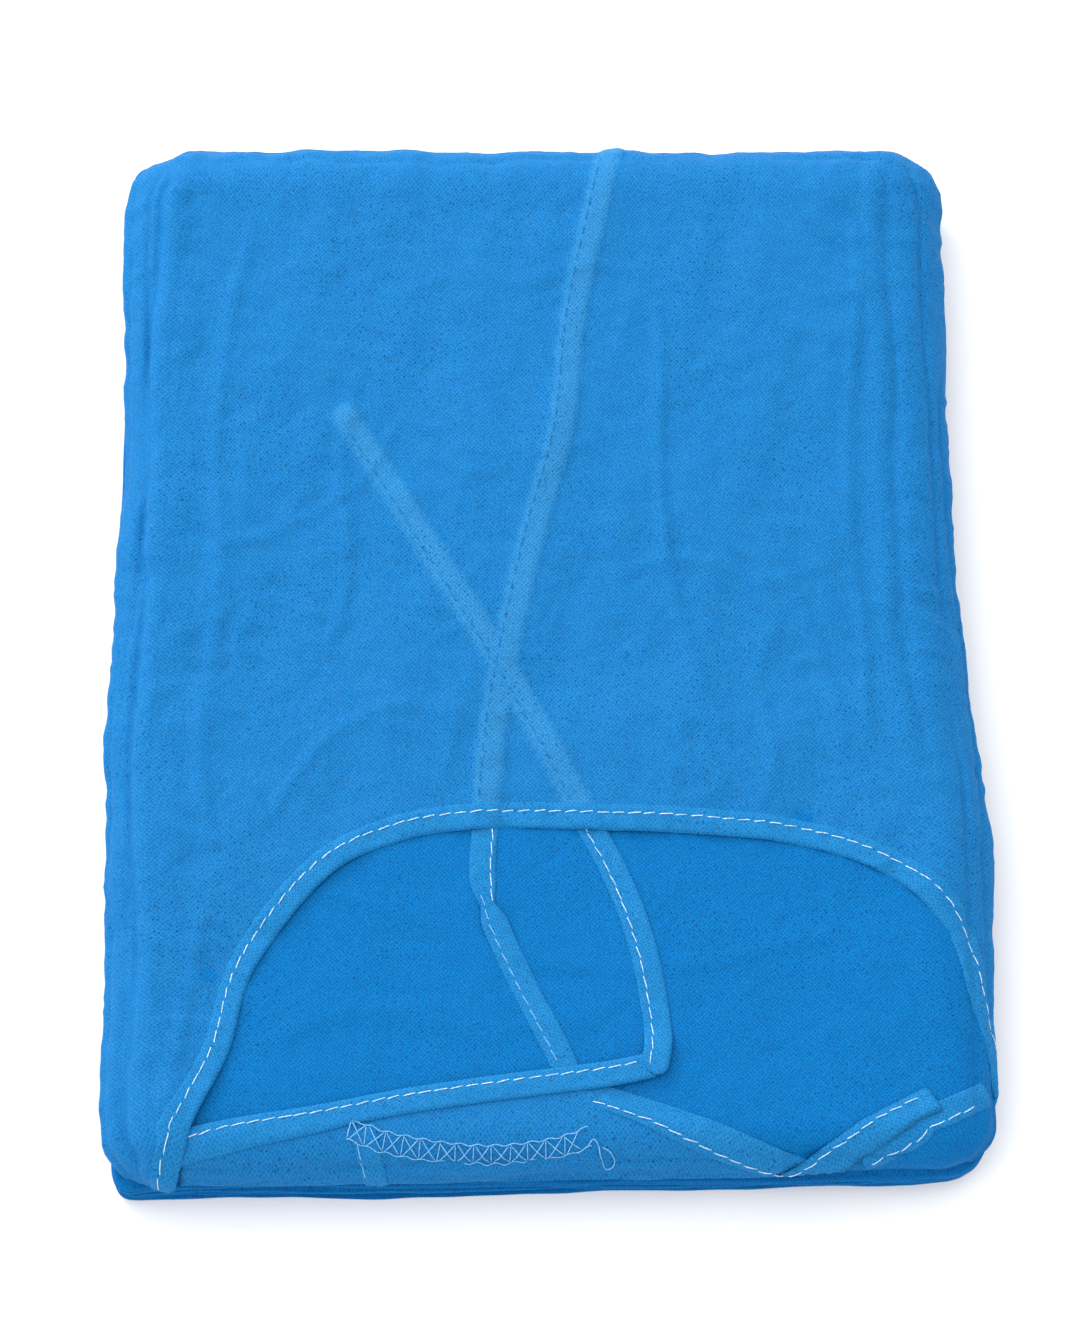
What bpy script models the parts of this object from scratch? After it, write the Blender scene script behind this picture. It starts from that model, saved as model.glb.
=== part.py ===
"""A surgical gown, folded flat for storage and lying on a surface.

The hidden layers are one rounded stack with layered sides. On it lie the pieces that show: the
front body with its bound neck edge, both backs inside the neck hole, the tapes that bind and tie
them, and an overlocked seam. Metres, +Z up, +Y from the neck hole to the far end of the stack.

Every piece is laid out in cloth coordinates: p across, q along and a lift above the stack's flat
top. lie_over() rolls those coordinates over the stack's rounded sides.
"""

import math
from collections import namedtuple

import bmesh
import bpy
from mathutils import Vector

MM = 0.001

# Driving dimensions of the folded stack
HALF_WIDTH = 143 * MM
HALF_LENGTH = 175 * MM
STACK_TOP = 28 * MM
ROLL_DROP = 16 * MM
ROLL_SIDE = 24 * MM
ROLL_FAR = 20 * MM
ROLL_NEAR = 13 * MM
SKIN = 4 * MM
INNER_X = HALF_WIDTH - ROLL_SIDE - SKIN
INNER_FAR = HALF_LENGTH - ROLL_FAR - SKIN
INNER_NEAR = HALF_LENGTH - ROLL_NEAR - SKIN

# The stack's plan: how much its sides draw in, and how much its near end slants
RIGHT_TAPER = 0.068
LEFT_TAPER = 0.02
LEFT_NEAR_TAPER = 0.018
NEAR_SLANT = 0.094

# The move that brings the middle of the tapered stack over the origin
CENTRE_X = -0.45 * MM
CENTRE_Y = 2.4 * MM

# A roll turns through a right angle over 1.4 times its reach; the sheets end a little before that
QUARTER_TURN = 1.4
SHEET_TURN = 1.2
CORNER_POWER = 8
SIDE_END = INNER_X + SHEET_TURN * ROLL_SIDE
NEAR_END = -INNER_NEAR - SHEET_TURN * ROLL_NEAR

# Cloth and tape
GAP = 0.3 * MM
CLOTH = 1.5 * MM
TAPE = 1.6 * MM
TAPE_WIDTH = 9 * MM
BINDING = 2.4 * MM
BINDING_WIDTH = 8.5 * MM
TUCKED_TIE_WIDTH = 7 * MM
SEAM_WIDTH = 4.6 * MM
SEAM_THICKNESS = 1 * MM

# How far above the stack's top the underside of each level lies
LIFT_INNER = GAP
LIFT_OVER_INNER = LIFT_INNER + CLOTH + GAP
LIFT_OVER_TAPE = LIFT_OVER_INNER + TAPE + GAP
LIFT_ON_LEFT_BACK = LIFT_OVER_INNER + CLOTH + GAP
FLANK_EASE = 1.3 * MM
ROLL_EASE = 0.5 * MM

# The hidden layers, from the bottom up: each one's top, then how far it stays inside the outline
# on each side, and its corner radii. Layers above the roll's foot follow the roll instead.
Fold = namedtuple("Fold", "top left right near far near_left near_right far_right far_left")
LOWER_FOLDS = (
    Fold(6.5 * MM, 3 * MM, 2.5 * MM, 0.5 * MM, 6 * MM, 12 * MM, 20 * MM, 26 * MM, 14 * MM),
    Fold(12.4 * MM, 0 * MM, 0.5 * MM, 1 * MM, 3.7 * MM, 10 * MM, 18 * MM, 24 * MM, 12 * MM),
)
ROLLED_FOLD_TOPS = (17.6 * MM, 22.8 * MM, 27.9 * MM)
FOLD_GROOVE = 2.6 * MM
FOLD_WAVE = 0.7 * MM
ROLL_MARGIN = 0.7 * MM
CORNER_POINTS = 7
SIDE_POINTS = 8
END_POINTS = 7

# Where a cloth edge or a tape's centre line runs, in cloth coordinates
Place = namedtuple("Place", "p q")


def places(*pairs):
    """Rows of p and q in millimetres as places in metres."""
    return tuple(Place(p * MM, q * MM) for p, q in pairs)


NECK_EDGE = places(
    (-117.9, -173.6), (-111, -156), (-100.3, -134), (-93.8, -110.2), (-81.3, -92), (-62.8, -74),
    (-42.4, -65.7), (-14.1, -62.6), (17.5, -63.4), (49.2, -64.9), (80.7, -68.7), (100.9, -75.1),
    (115.5, -84.3), (123.6, -96), (127.8, -107), (131, -118), (135, -129), (139.3, -139.5),
)
LEFT_BACK_BINDING = places(
    (-109.3, -161.2), (-96.1, -158.9), (-71, -155.3), (-45.8, -150.9), (-20.5, -147.4),
    (4.7, -144.5), (23.4, -142.4), (35, -138.3),
)
LEFT_NECK_TIE = places(
    (35.6, -137), (35.1, -128), (33.6, -116.3), (29.3, -96.9), (22.1, -77.2), (14, -61.4), (6, -47),
)
RIGHT_NECK_TIE = places(
    (-19, -47), (-19, -62.5), (-19.4, -81), (-17.4, -90.5), (-13.4, -100), (-7.4, -112.3),
    (-1.5, -124), (5.3, -137.8), (7.1, -141.5),
)
BACK_EDGE_TIE = places((21, -151), (78.3, -171.5), (122.5, -187.3))
BACK_EDGE_TIE_FOLD = BACK_EDGE_TIE[1]
FOLD_TILT = math.radians(3.8)
FOLD_RADIUS = 2 * MM
BACK_EDGE_TIE_LEAN = 2.3
SHORT_TIE = places((98.5, -168.6), (113.1, -162.3), (124.5, -155.5), (139, -147.5))
TUCKED_TIE = places((-55.7, -165.6), (-54.2, -169.6), (-52.8, -173.4))
OVERLOCKED_SEAM = places(
    (-61, -161.6), (-52.9, -162), (-40.6, -163.2), (-28.6, -164.5), (-16.7, -165), (-4.7, -164.5),
    (7.2, -163), (13.3, -161),
)

# How the panels are divided
FRONT_LEFT_STEP = 6 * MM
FRONT_FIRST_ROWS = 5
FRONT_ROW_STEP = 6 * MM
FRONT_MIDDLE_ROWS = 9
FRONT_FAR_ROWS = tuple(q * MM for q in (132, 142, 151, 156, 161, 166, 170.5, 175))
NECK_STATIONS = 58
INNER_LEFT = -125 * MM
INNER_TOP = -47.5 * MM
INNER_LIFT_END = -7 * MM
INNER_LIFT_FADE = 20 * MM
LEFT_BACK_END = 69 * MM

# Soft forms in the front body
PILLOW = 0.9 * MM
PILLOW_CENTRE = 45 * MM
PILLOW_HALF_LENGTH = 100 * MM
SIDE_RIDGE = 1.3 * MM
SIDE_RIDGE_AT = -126 * MM
SIDE_RIDGE_WIDTH = 6 * MM
TIE_RISE_REACH = 6 * MM
TIE_RISE_FADE = 7 * MM
TIE_RISE_END = -24 * MM

Finish = namedtuple("Finish", "name colour roughness")
GOWN_CLOTH = Finish("gown_cloth", (0.019, 0.262, 0.661, 1.0), 0.75)
BINDING_TAPE = Finish("binding_tape", (0.036, 0.319, 0.708, 1.0), 0.7)
OVERLOCK_THREAD = Finish("sewing_thread", (0.42, 0.66, 0.85, 1.0), 0.6)


def clear_scene():
    """Removes whatever the file holds, such as a startup cube."""
    for found in list(bpy.data.objects):
        bpy.data.objects.remove(found, do_unlink=True)


def material_of(finish):
    """The finish as a material, made once."""
    known = bpy.data.materials.get(finish.name)
    if known:
        return known
    made = bpy.data.materials.new(finish.name)
    made.use_nodes = True
    shader = made.node_tree.nodes["Principled BSDF"]
    shader.inputs["Base Color"].default_value = finish.colour
    shader.inputs["Roughness"].default_value = finish.roughness
    shader.inputs["Metallic"].default_value = 0.0
    return made


def smooth(t):
    """0 below 0, 1 above 1, with an easy curve between."""
    t = min(max(t, 0.0), 1.0)
    return t * t * (3 - 2 * t)


def tapered(point):
    """A point of the stack, drawn in where the folded gown narrows or slants."""
    if point.x > 0:
        width = 1 - RIGHT_TAPER * smooth((point.y + 100 * MM) / (170 * MM))
    else:
        width = 1 - LEFT_TAPER * smooth((point.y + 20 * MM) / (40 * MM))
        width -= LEFT_NEAR_TAPER * smooth((-70 * MM - point.y) / (40 * MM))
    length = 1 - NEAR_SLANT * point.x if point.y < 0 else 1
    return Vector((point.x * width + CENTRE_X, point.y * length + CENTRE_Y, point.z))


def lie_over(p, q, lift):
    """The point that cloth coordinates reach once the cloth is laid over the stack.

    Inside the flat top nothing changes. Past it the cloth follows an elliptical roll, in the
    direction in which it leaves the flat top, and below the roll it hangs straight.
    """
    inner_y, roll_y = (INNER_NEAR, ROLL_NEAR) if q < 0 else (INNER_FAR, ROLL_FAR)
    beyond_x = max(abs(p) - INNER_X, 0.0) / ROLL_SIDE
    beyond_y = max(abs(q) - inner_y, 0.0) / roll_y
    beyond = math.hypot(beyond_x, beyond_y)
    if beyond == 0:
        return tapered(Vector((p, q, STACK_TOP + lift)))
    reach = (beyond_x ** CORNER_POWER + beyond_y ** CORNER_POWER) ** (1 / CORNER_POWER)
    turn = min(reach / QUARTER_TURN, 1.0) * math.pi / 2
    below = max(reach - QUARTER_TURN, 0.0) * ROLL_SIDE
    share_x = math.copysign(beyond_x / beyond, p)
    share_y = math.copysign(beyond_y / beyond, q)
    start_x = min(max(p, -INNER_X), INNER_X)
    start_y = min(max(q, -inner_y), inner_y)
    point = Vector((
        start_x + share_x * ROLL_SIDE * math.sin(turn),
        start_y + share_y * roll_y * math.sin(turn),
        STACK_TOP - ROLL_DROP * (1 - math.cos(turn)) - below,
    ))
    normal = Vector((
        share_x * math.sin(turn) / ROLL_SIDE,
        share_y * math.sin(turn) / roll_y,
        math.cos(turn) / ROLL_DROP,
    )).normalized()
    return tapered(point + normal * lift)


def fold_back(p, q, lift):
    """The point on the back edge tie: past its fold the tape turns over and lies on itself."""
    out = Place(math.sin(FOLD_TILT), -math.cos(FOLD_TILT))
    past = (p - BACK_EDGE_TIE_FOLD.p) * out.p + (q - BACK_EDGE_TIE_FOLD.q) * out.q
    if past <= 0:
        return lie_over(p, q, lift)
    around = math.pi * FOLD_RADIUS
    turn = min(past / around, 1.0) * math.pi
    shift = FOLD_RADIUS * math.sin(turn) - max(past - around, 0.0) - past
    return lie_over(p + out.p * shift, q + out.q * shift, lift + FOLD_RADIUS * (1 - math.cos(turn)))


def rolled_share(p, q):
    """0 on the flat top, rising to 1 on the rounded sides."""
    inner_y = INNER_NEAR if q < 0 else INNER_FAR
    past = max(abs(p) - INNER_X, abs(q) - inner_y)
    return smooth(past / ROLL_NEAR + 0.5)


def spline_point(row, position):
    """A point on the Catmull-Rom curve through a row of places."""
    last = len(row) - 1
    index = min(int(position), last - 1)
    t = position - index
    before = row[max(index - 1, 0)]
    start, end = row[index], row[index + 1]
    after = row[min(index + 2, last)]

    def blend(a, b, c, d):
        return 0.5 * (2 * b + (c - a) * t + (2 * a - 5 * b + 4 * c - d) * t * t
                      + (3 * b - a - 3 * c + d) * t ** 3)

    return Place(blend(before.p, start.p, end.p, after.p), blend(before.q, start.q, end.q, after.q))


def stations(row, count):
    """Evenly spaced stations on a curve: each one's place and its direction to the left."""
    fine = 40 * (len(row) - 1)
    curve = [spline_point(row, i / 40) for i in range(fine + 1)]
    travelled = [0.0]
    for here, there in zip(curve, curve[1:]):
        travelled.append(travelled[-1] + math.hypot(there.p - here.p, there.q - here.q))
    found = []
    index = 0
    for k in range(count):
        wanted = travelled[-1] * k / (count - 1)
        while index < fine - 1 and travelled[index + 1] < wanted:
            index += 1
        here, there = curve[index], curve[index + 1]
        step = travelled[index + 1] - travelled[index]
        t = (wanted - travelled[index]) / step
        left = Place(-(there.q - here.q) / step, (there.p - here.p) / step)
        found.append((Place(here.p + t * (there.p - here.p), here.q + t * (there.q - here.q)), left))
    return found, travelled[-1]


def distance_to(row, p, q):
    """How far a point in cloth coordinates is from a line through a row of places."""
    nearest = math.inf
    for a, b in zip(row, row[1:]):
        along = Place(b.p - a.p, b.q - a.q)
        length = along.p ** 2 + along.q ** 2
        t = ((p - a.p) * along.p + (q - a.q) * along.q) / length
        t = min(max(t, 0.0), 1.0)
        nearest = min(nearest, math.hypot(p - a.p - t * along.p, q - a.q - t * along.q))
    return nearest


def add_to_scene(name, mesh, finish, collection):
    """Puts a mesh in the part's collection as a named object with its finish."""
    made = bpy.data.objects.new(name, mesh)
    mesh.materials.append(material_of(finish))
    mesh.shade_smooth()
    collection.objects.link(made)
    return made


def cloth(name, rows, thickness, finish, collection):
    """A sheet of cloth: a grid whose points are given as rows of columns, with a thickness."""
    columns_count, rows_count = len(rows[0]) - 1, len(rows) - 1
    shape = bmesh.new()
    bmesh.ops.create_grid(shape, x_segments=columns_count, y_segments=rows_count, size=0.5)
    for vertex in shape.verts:
        column = round((vertex.co.x + 0.5) * columns_count)
        row = round((vertex.co.y + 0.5) * rows_count)
        vertex.co = rows[row][column]
    mesh = bpy.data.meshes.new(name)
    shape.to_mesh(mesh)
    shape.free()
    made = add_to_scene(name, mesh, finish, collection)
    wall = made.modifiers.new("Wall", "SOLIDIFY")
    wall.thickness = thickness
    wall.offset = 1.0
    wall.use_even_offset = True
    mesh.set_sharp_from_angle(angle=math.radians(40))
    return made


def ribbon(name, row, width, thickness, finish, collection, lift, count,
           lean=0.0, start_lean=0.0, end_lean=0.0, place_on=lie_over, strips=2):
    """A flat tape along a row of places. lift(share, p, q) gives its underside's height.

    A lean moves the left edge forward and the right edge back: over the whole length, or only
    at one end where the tape is cut as a mitre.
    """
    found, length = stations(row, count)
    rows = []
    for strip in range(strips + 1):
        across = strip / strips - 0.5
        line = []
        for k, (place, left) in enumerate(found):
            share = k / (count - 1)
            near_start = smooth(1 - share * length / (1.5 * width))
            near_end = smooth(1 - (1 - share) * length / (1.5 * width))
            along = across * width * (lean + start_lean * near_start + end_lean * near_end)
            p = place.p + left.p * across * width + left.q * along
            q = place.q + left.q * across * width - left.p * along
            line.append(place_on(p, q, lift(share, p, q)))
        rows.append(line)
    return cloth(name, rows, thickness, finish, collection)


def rounded_outline(left, right, near, far, radii):
    """A rounded rectangle as points, starting at its near left corner and going round."""
    corners = (
        (-left, -near, radii[0], 180), (right, -near, radii[1], 270),
        (right, far, radii[2], 0), (-left, far, radii[3], 90),
    )
    points = []
    for x, y, radius, first in corners:
        centre_x = x - math.copysign(radius, x)
        centre_y = y - math.copysign(radius, y)
        for k in range(CORNER_POINTS):
            angle = math.radians(first + 90 * k / (CORNER_POINTS - 1))
            points.append(Vector((
                centre_x + radius * math.cos(angle), centre_y + radius * math.sin(angle), 0,
            )))
    return with_sides(points)


def rolled_outline(height, inset):
    """The stack's outline where its top rolls over, at a height above the roll's foot."""
    over = min(max((height - (STACK_TOP - ROLL_DROP)) / ROLL_DROP, 0.0), 1.0)
    out = math.sqrt(1 - over * over)
    corners = (
        (-1, -1, 180, ROLL_NEAR, INNER_NEAR), (1, -1, 270, ROLL_NEAR, INNER_NEAR),
        (1, 1, 0, ROLL_FAR, INNER_FAR), (-1, 1, 90, ROLL_FAR, INNER_FAR),
    )
    points = []
    for side_x, side_y, first, roll_y, inner_y in corners:
        reach_x = max(ROLL_SIDE * out - inset, 0.0)
        reach_y = max(roll_y * out - inset, 0.0)
        for k in range(CORNER_POINTS):
            angle = math.radians(first + 90 * k / (CORNER_POINTS - 1))
            points.append(Vector((
                side_x * INNER_X + reach_x * math.cos(angle),
                side_y * inner_y + reach_y * math.sin(angle),
                0,
            )))
    return with_sides(points)


def with_sides(corner_points):
    """The corners' points with evenly spaced points added along the four sides."""
    points = []
    for corner in range(4):
        arc = corner_points[corner * CORNER_POINTS:(corner + 1) * CORNER_POINTS]
        start = arc[-1]
        end = corner_points[((corner + 1) % 4) * CORNER_POINTS]
        count = END_POINTS if corner % 2 == 0 else SIDE_POINTS
        points.extend(arc)
        points.extend(start.lerp(end, k / (count + 1)) for k in range(1, count + 1))
    return points


def waved(points, layer):
    """Moves an outline's side points in and out a little, as no folded edge is quite straight."""
    moved = []
    count = len(points)
    for k, point in enumerate(points):
        turn = 2 * math.pi * k / count
        wave = math.sin(3 * turn + 1.7 * layer) + 0.6 * math.sin(7 * turn + 2.9 * layer)
        length = point.length
        moved.append(point * (1 + FOLD_WAVE * (wave - 1.6) / 1.6 / length))
    return moved


def layer_rings(bottom, top, layer, outline):
    """The rings of one folded layer: its rounded edge and the groove above it."""
    thickness = top - bottom
    rings = []
    for share, groove_share in ((0.12, 0.55), (0.35, 0.0), (0.65, 0.0), (0.88, 0.55), (1.0, 1.0)):
        height = bottom + share * thickness
        ring = waved(outline(height, FOLD_GROOVE * groove_share), layer)
        rings.append([Vector((point.x, point.y, height)) for point in ring])
    return rings


def lower_outline(fold):
    """The outline of a layer below the roll, as a function of height and inset."""
    def outline(_height, inset):
        return rounded_outline(
            HALF_WIDTH - fold.left - inset, HALF_WIDTH - fold.right - inset,
            HALF_LENGTH - fold.near - inset, HALF_LENGTH - fold.far - inset,
            [max(radius - inset, 3 * MM) for radius in fold[5:]],
        )
    return outline


def build_folded_layers(collection):
    """The hidden layers: body, sleeves and skirts folded into one rounded stack."""
    base = lower_outline(LOWER_FOLDS[0])(0, FOLD_GROOVE)
    rings = [[Vector((point.x, point.y, 0)) for point in waved(base, 0)]]
    bottom = 0.0
    for layer, fold in enumerate(LOWER_FOLDS):
        rings += layer_rings(bottom, fold.top, layer, lower_outline(fold))
        bottom = fold.top
    for layer, top in enumerate(ROLLED_FOLD_TOPS, start=len(LOWER_FOLDS)):
        rings += layer_rings(
            bottom, top, layer, lambda height, inset: rolled_outline(height, ROLL_MARGIN + inset),
        )
        bottom = top
    lid = rolled_outline(STACK_TOP, 0)
    rings[-1] = [Vector((point.x, point.y, STACK_TOP)) for point in lid]

    shape = bmesh.new()
    made = [[shape.verts.new(tapered(point)) for point in ring] for ring in rings]
    count = len(made[0])
    for below, above in zip(made, made[1:]):
        for k in range(count):
            nearby = (k + 1) % count
            shape.faces.new((below[k], below[nearby], above[nearby], above[k]))
    shape.faces.new(list(reversed(made[0])))
    shape.faces.new(made[-1])
    bmesh.ops.remove_doubles(shape, verts=shape.verts, dist=0.01 * MM)
    bmesh.ops.recalc_face_normals(shape, faces=shape.faces)
    mesh = bpy.data.meshes.new("folded_layers")
    shape.to_mesh(mesh)
    shape.free()
    add_to_scene("folded_layers", mesh, GOWN_CLOTH, collection)
    mesh.set_sharp_from_angle(angle=math.radians(50))


def tie_rise(p, q):
    """How much the front body rises over the two neck ties where they run in under it."""
    near = min(distance_to(LEFT_NECK_TIE, p, q), distance_to(RIGHT_NECK_TIE, p, q))
    share = smooth((TIE_RISE_REACH + TIE_RISE_FADE - near) / TIE_RISE_FADE)
    fade = smooth((TIE_RISE_END - q) / (15 * MM))
    return (LIFT_OVER_TAPE - LIFT_OVER_INNER + 0.2 * MM) * share * fade


def front_lift(p, q):
    """The height of the front body's underside over the stack."""
    across = max(1 - (p / INNER_X) ** 2, 0)
    along = max(1 - ((q - PILLOW_CENTRE) / PILLOW_HALF_LENGTH) ** 2, 0)
    ridge = math.exp(-((p - SIDE_RIDGE_AT) / SIDE_RIDGE_WIDTH) ** 2)
    inner = smooth((INNER_LIFT_END - q) / INNER_LIFT_FADE)
    return (LIFT_INNER + (LIFT_OVER_INNER - LIFT_INNER) * inner + FLANK_EASE * rolled_share(p, q)
            + tie_rise(p, q) + PILLOW * across * along
            + SIDE_RIDGE * ridge * smooth((60 * MM - q) / (60 * MM)))


def neck_line(offset, found):
    """The neck edge moved towards the front body, one place at each station."""
    moved = [Place(place.p + left.p * offset, place.q + left.q * offset) for place, left in found]
    return [Place(min(place.p, SIDE_END), place.q) for place in moved]


def build_front_body(collection, neck):
    """The front body: from its bound neck edge to the far fold, rolled over three sides."""
    seam = [place for place in neck_line(BINDING_WIDTH + GAP, neck) if place.p < SIDE_END]
    columns = []
    p = -SIDE_END
    while p < seam[0].p - FRONT_LEFT_STEP / 2:
        columns.append(Place(p, NEAR_END))
        p += FRONT_LEFT_STEP
    columns += seam
    offsets = [FRONT_ROW_STEP * k for k in range(FRONT_FIRST_ROWS + 1)]
    rows = [[lie_over(c.p, c.q + step, front_lift(c.p, c.q + step)) for c in columns] for step in offsets]
    for k in range(1, FRONT_MIDDLE_ROWS):
        share = k / FRONT_MIDDLE_ROWS
        row = []
        for c in columns:
            start = c.q + offsets[-1]
            q = start + share * (FRONT_FAR_ROWS[0] - start)
            row.append(lie_over(c.p, q, front_lift(c.p, q)))
        rows.append(row)
    rows += [[lie_over(c.p, q, front_lift(c.p, q)) for c in columns] for q in FRONT_FAR_ROWS]
    cloth("front_body", rows, CLOTH, GOWN_CLOTH, collection)


def build_front_neck_binding(collection, neck):
    """The tape that binds the front neck edge, made from the front body's own edge."""
    rows = []
    for offset in (0.0, BINDING_WIDTH / 2, BINDING_WIDTH):
        line = neck_line(offset, neck)
        rows.append([lie_over(c.p, c.q, front_lift(c.p, c.q)) for c in line])
    cloth("front_neck_binding", rows, BINDING, BINDING_TAPE, collection)


def build_right_back(collection):
    """The right back, whose inside shows through the neck hole, rolled over two sides."""
    across = [INNER_LEFT, (INNER_LEFT - INNER_X) / 2]
    across += [-INNER_X + k * INNER_X / 4 for k in range(9)]
    across += [INNER_X + k * (SIDE_END - INNER_X) / 6 for k in range(1, 7)]
    along = [NEAR_END + k * (-INNER_NEAR - NEAR_END) / 7 for k in range(8)]
    along += [-INNER_NEAR + k * (INNER_TOP + INNER_NEAR) / 5 for k in range(1, 6)]
    rows = [[lie_over(p, q, LIFT_INNER) for p in across] for q in along]
    cloth("right_back", rows, CLOTH, GOWN_CLOTH, collection)


def build_left_back(collection):
    """The left back below its bound neck edge, rolled over the near side."""
    found, _ = stations(LEFT_BACK_BINDING, 15)
    reach = BINDING_WIDTH / 2 + GAP
    top = [Place(place.p - left.p * reach, place.q - left.q * reach) for place, left in found]
    top = [place for place in top if place.p < 2 * MM]
    run, _ = stations(BACK_EDGE_TIE[:2], 9)
    beside = TAPE_WIDTH / 2 + 2 * GAP
    top += [Place(place.p - left.p * beside, place.q - left.q * beside) for place, left in run]
    top = [place for place in top if place.p < LEFT_BACK_END and place.q > NEAR_END + 1 * MM]
    rows = []
    for share in (0.0, 0.14, 0.28, 0.42, 0.56, 0.7, 0.85, 1.0):
        rows.append([
            lie_over(c.p, NEAR_END + share * (c.q - NEAR_END), eased(LIFT_OVER_INNER, c.p, c.q))
            for c in top
        ])
    cloth("left_back", rows, CLOTH, GOWN_CLOTH, collection)


def eased(lift, p, q):
    """A lift with a little more room on the rolls, where the pieces' facets differ."""
    return lift + ROLL_EASE * rolled_share(p, q)


def build_tapes(collection):
    """The bound back neck edge, the ties and the overlocked seam."""
    def raised_end(share, p, q):
        rise = smooth((share - 0.62) / 0.12)
        return eased(LIFT_OVER_INNER + (LIFT_OVER_TAPE - LIFT_OVER_INNER) * rise, p, q)

    def lowered_start(share, _p, _q):
        return LIFT_OVER_TAPE + (LIFT_OVER_INNER - LIFT_OVER_TAPE) * smooth(share / 0.3)

    def on_inner(_share, p, q):
        return eased(LIFT_OVER_INNER, p, q)

    def on_left_back(_share, p, q):
        return eased(LIFT_ON_LEFT_BACK + GAP, p, q)

    ribbon("left_back_neck_binding", LEFT_BACK_BINDING, BINDING_WIDTH, BINDING, BINDING_TAPE,
           collection, raised_end, 30, end_lean=-0.67)
    ribbon("left_neck_tie", LEFT_NECK_TIE, TAPE_WIDTH, TAPE, BINDING_TAPE, collection,
           lowered_start, 22, start_lean=0.67)
    ribbon("right_neck_tie", RIGHT_NECK_TIE, TAPE_WIDTH, TAPE, BINDING_TAPE, collection,
           on_inner, 24)
    ribbon("back_edge_tie", BACK_EDGE_TIE, TAPE_WIDTH, TAPE, BINDING_TAPE, collection,
           on_inner, 64, lean=BACK_EDGE_TIE_LEAN, place_on=fold_back, strips=6)
    ribbon("short_tie", SHORT_TIE, TAPE_WIDTH, TAPE, BINDING_TAPE, collection, on_inner, 12)
    ribbon("tucked_tie", TUCKED_TIE, TUCKED_TIE_WIDTH, TAPE, BINDING_TAPE, collection,
           on_left_back, 5)
    ribbon("overlocked_seam", OVERLOCKED_SEAM, SEAM_WIDTH, SEAM_THICKNESS, OVERLOCK_THREAD,
           collection, on_left_back, 18)


def main():
    clear_scene()
    collection = bpy.data.collections.new("folded_surgical_gown")
    bpy.context.scene.collection.children.link(collection)
    neck, _ = stations(NECK_EDGE, NECK_STATIONS)
    build_folded_layers(collection)
    build_right_back(collection)
    build_left_back(collection)
    build_front_body(collection, neck)
    build_front_neck_binding(collection, neck)
    build_tapes(collection)


main()
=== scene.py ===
"""Dresses the folded surgical gown.

The gown is a stack of embossed nonwoven, folded flat and lying on a surface. Every visible piece is
a thin sheet, tape or thread laid over the same rounded stack as the solid model: it is worked out
in cloth coordinates, p across and q along the stack, with a lift above its flat top.
"""

import logging
import math
from collections.abc import Callable
from dataclasses import dataclass, field
from enum import Enum

import bpy
import numpy as np
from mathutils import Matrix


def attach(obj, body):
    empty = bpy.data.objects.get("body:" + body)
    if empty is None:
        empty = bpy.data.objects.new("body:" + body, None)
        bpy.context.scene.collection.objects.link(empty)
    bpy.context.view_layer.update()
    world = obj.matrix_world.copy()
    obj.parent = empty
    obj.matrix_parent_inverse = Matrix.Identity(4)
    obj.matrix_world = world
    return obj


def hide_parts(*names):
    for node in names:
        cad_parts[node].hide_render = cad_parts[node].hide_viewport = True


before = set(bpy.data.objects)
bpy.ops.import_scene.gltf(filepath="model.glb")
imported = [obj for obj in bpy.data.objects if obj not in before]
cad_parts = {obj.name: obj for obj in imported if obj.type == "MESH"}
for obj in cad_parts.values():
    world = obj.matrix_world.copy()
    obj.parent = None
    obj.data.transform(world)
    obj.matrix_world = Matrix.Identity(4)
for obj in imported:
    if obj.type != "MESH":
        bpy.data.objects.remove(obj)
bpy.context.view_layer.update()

MM = 0.001
BODY = "root"
THREAD_SIDES = 5
SAMPLE_STEP = 4 * MM
LOG = logging.getLogger("gown")
Array = np.ndarray
Lift = Callable[[Array, Array], Array]
Lay = Callable[[Array, Array, Array], Array]
WidthAt = Callable[[Array], Array]


class Held(Enum):
    """How a sheet of the gown is held in the folded stack."""

    FOLDED = "folded"


class Side(Enum):
    """Which edge of a tape its stitches run along, seen along the tape."""

    LEFT = 1.0
    RIGHT = -1.0


def smooth(t: Array) -> Array:
    """Eases from 0 to 1: the cubic 3t^2 - 2t^3 on t held between 0 and 1."""
    held = np.clip(t, 0.0, 1.0)
    return held * held * (3 - 2 * held)


def bell(t: Array) -> Array:
    """A bell: e to the power of minus t squared."""
    return np.exp(-np.square(t))


def linear(code: str) -> tuple[float, float, float, float]:
    """Turns an sRGB hex colour into linear RGB.

    Args:
        code: six hex digits.

    Returns:
        Linear red, green and blue, with an alpha of 1.
    """
    values = []
    for start in (0, 2, 4):
        share = int(code[start:start + 2], 16) / 255
        values.append(share / 12.92 if share <= 0.04045 else ((share + 0.055) / 1.055) ** 2.4)
    return values[0], values[1], values[2], 1.0


def add_node(tree: bpy.types.NodeTree, kind: str, settings: dict, links: dict) -> bpy.types.Node:
    """Adds a node to a material.

    Args:
        tree: the material's node tree.
        kind: the node's type name.
        settings: node properties by name, and socket values by socket index or name.
        links: for each input socket, the output socket that feeds it.

    Returns:
        The new node.
    """
    node = tree.nodes.new(kind)
    for key, value in settings.items():
        if isinstance(key, str) and hasattr(node, key):
            setattr(node, key, value)
        else:
            node.inputs[key].default_value = value
    for key, source in links.items():
        tree.links.new(source, node.inputs[key])
    return node


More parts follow.
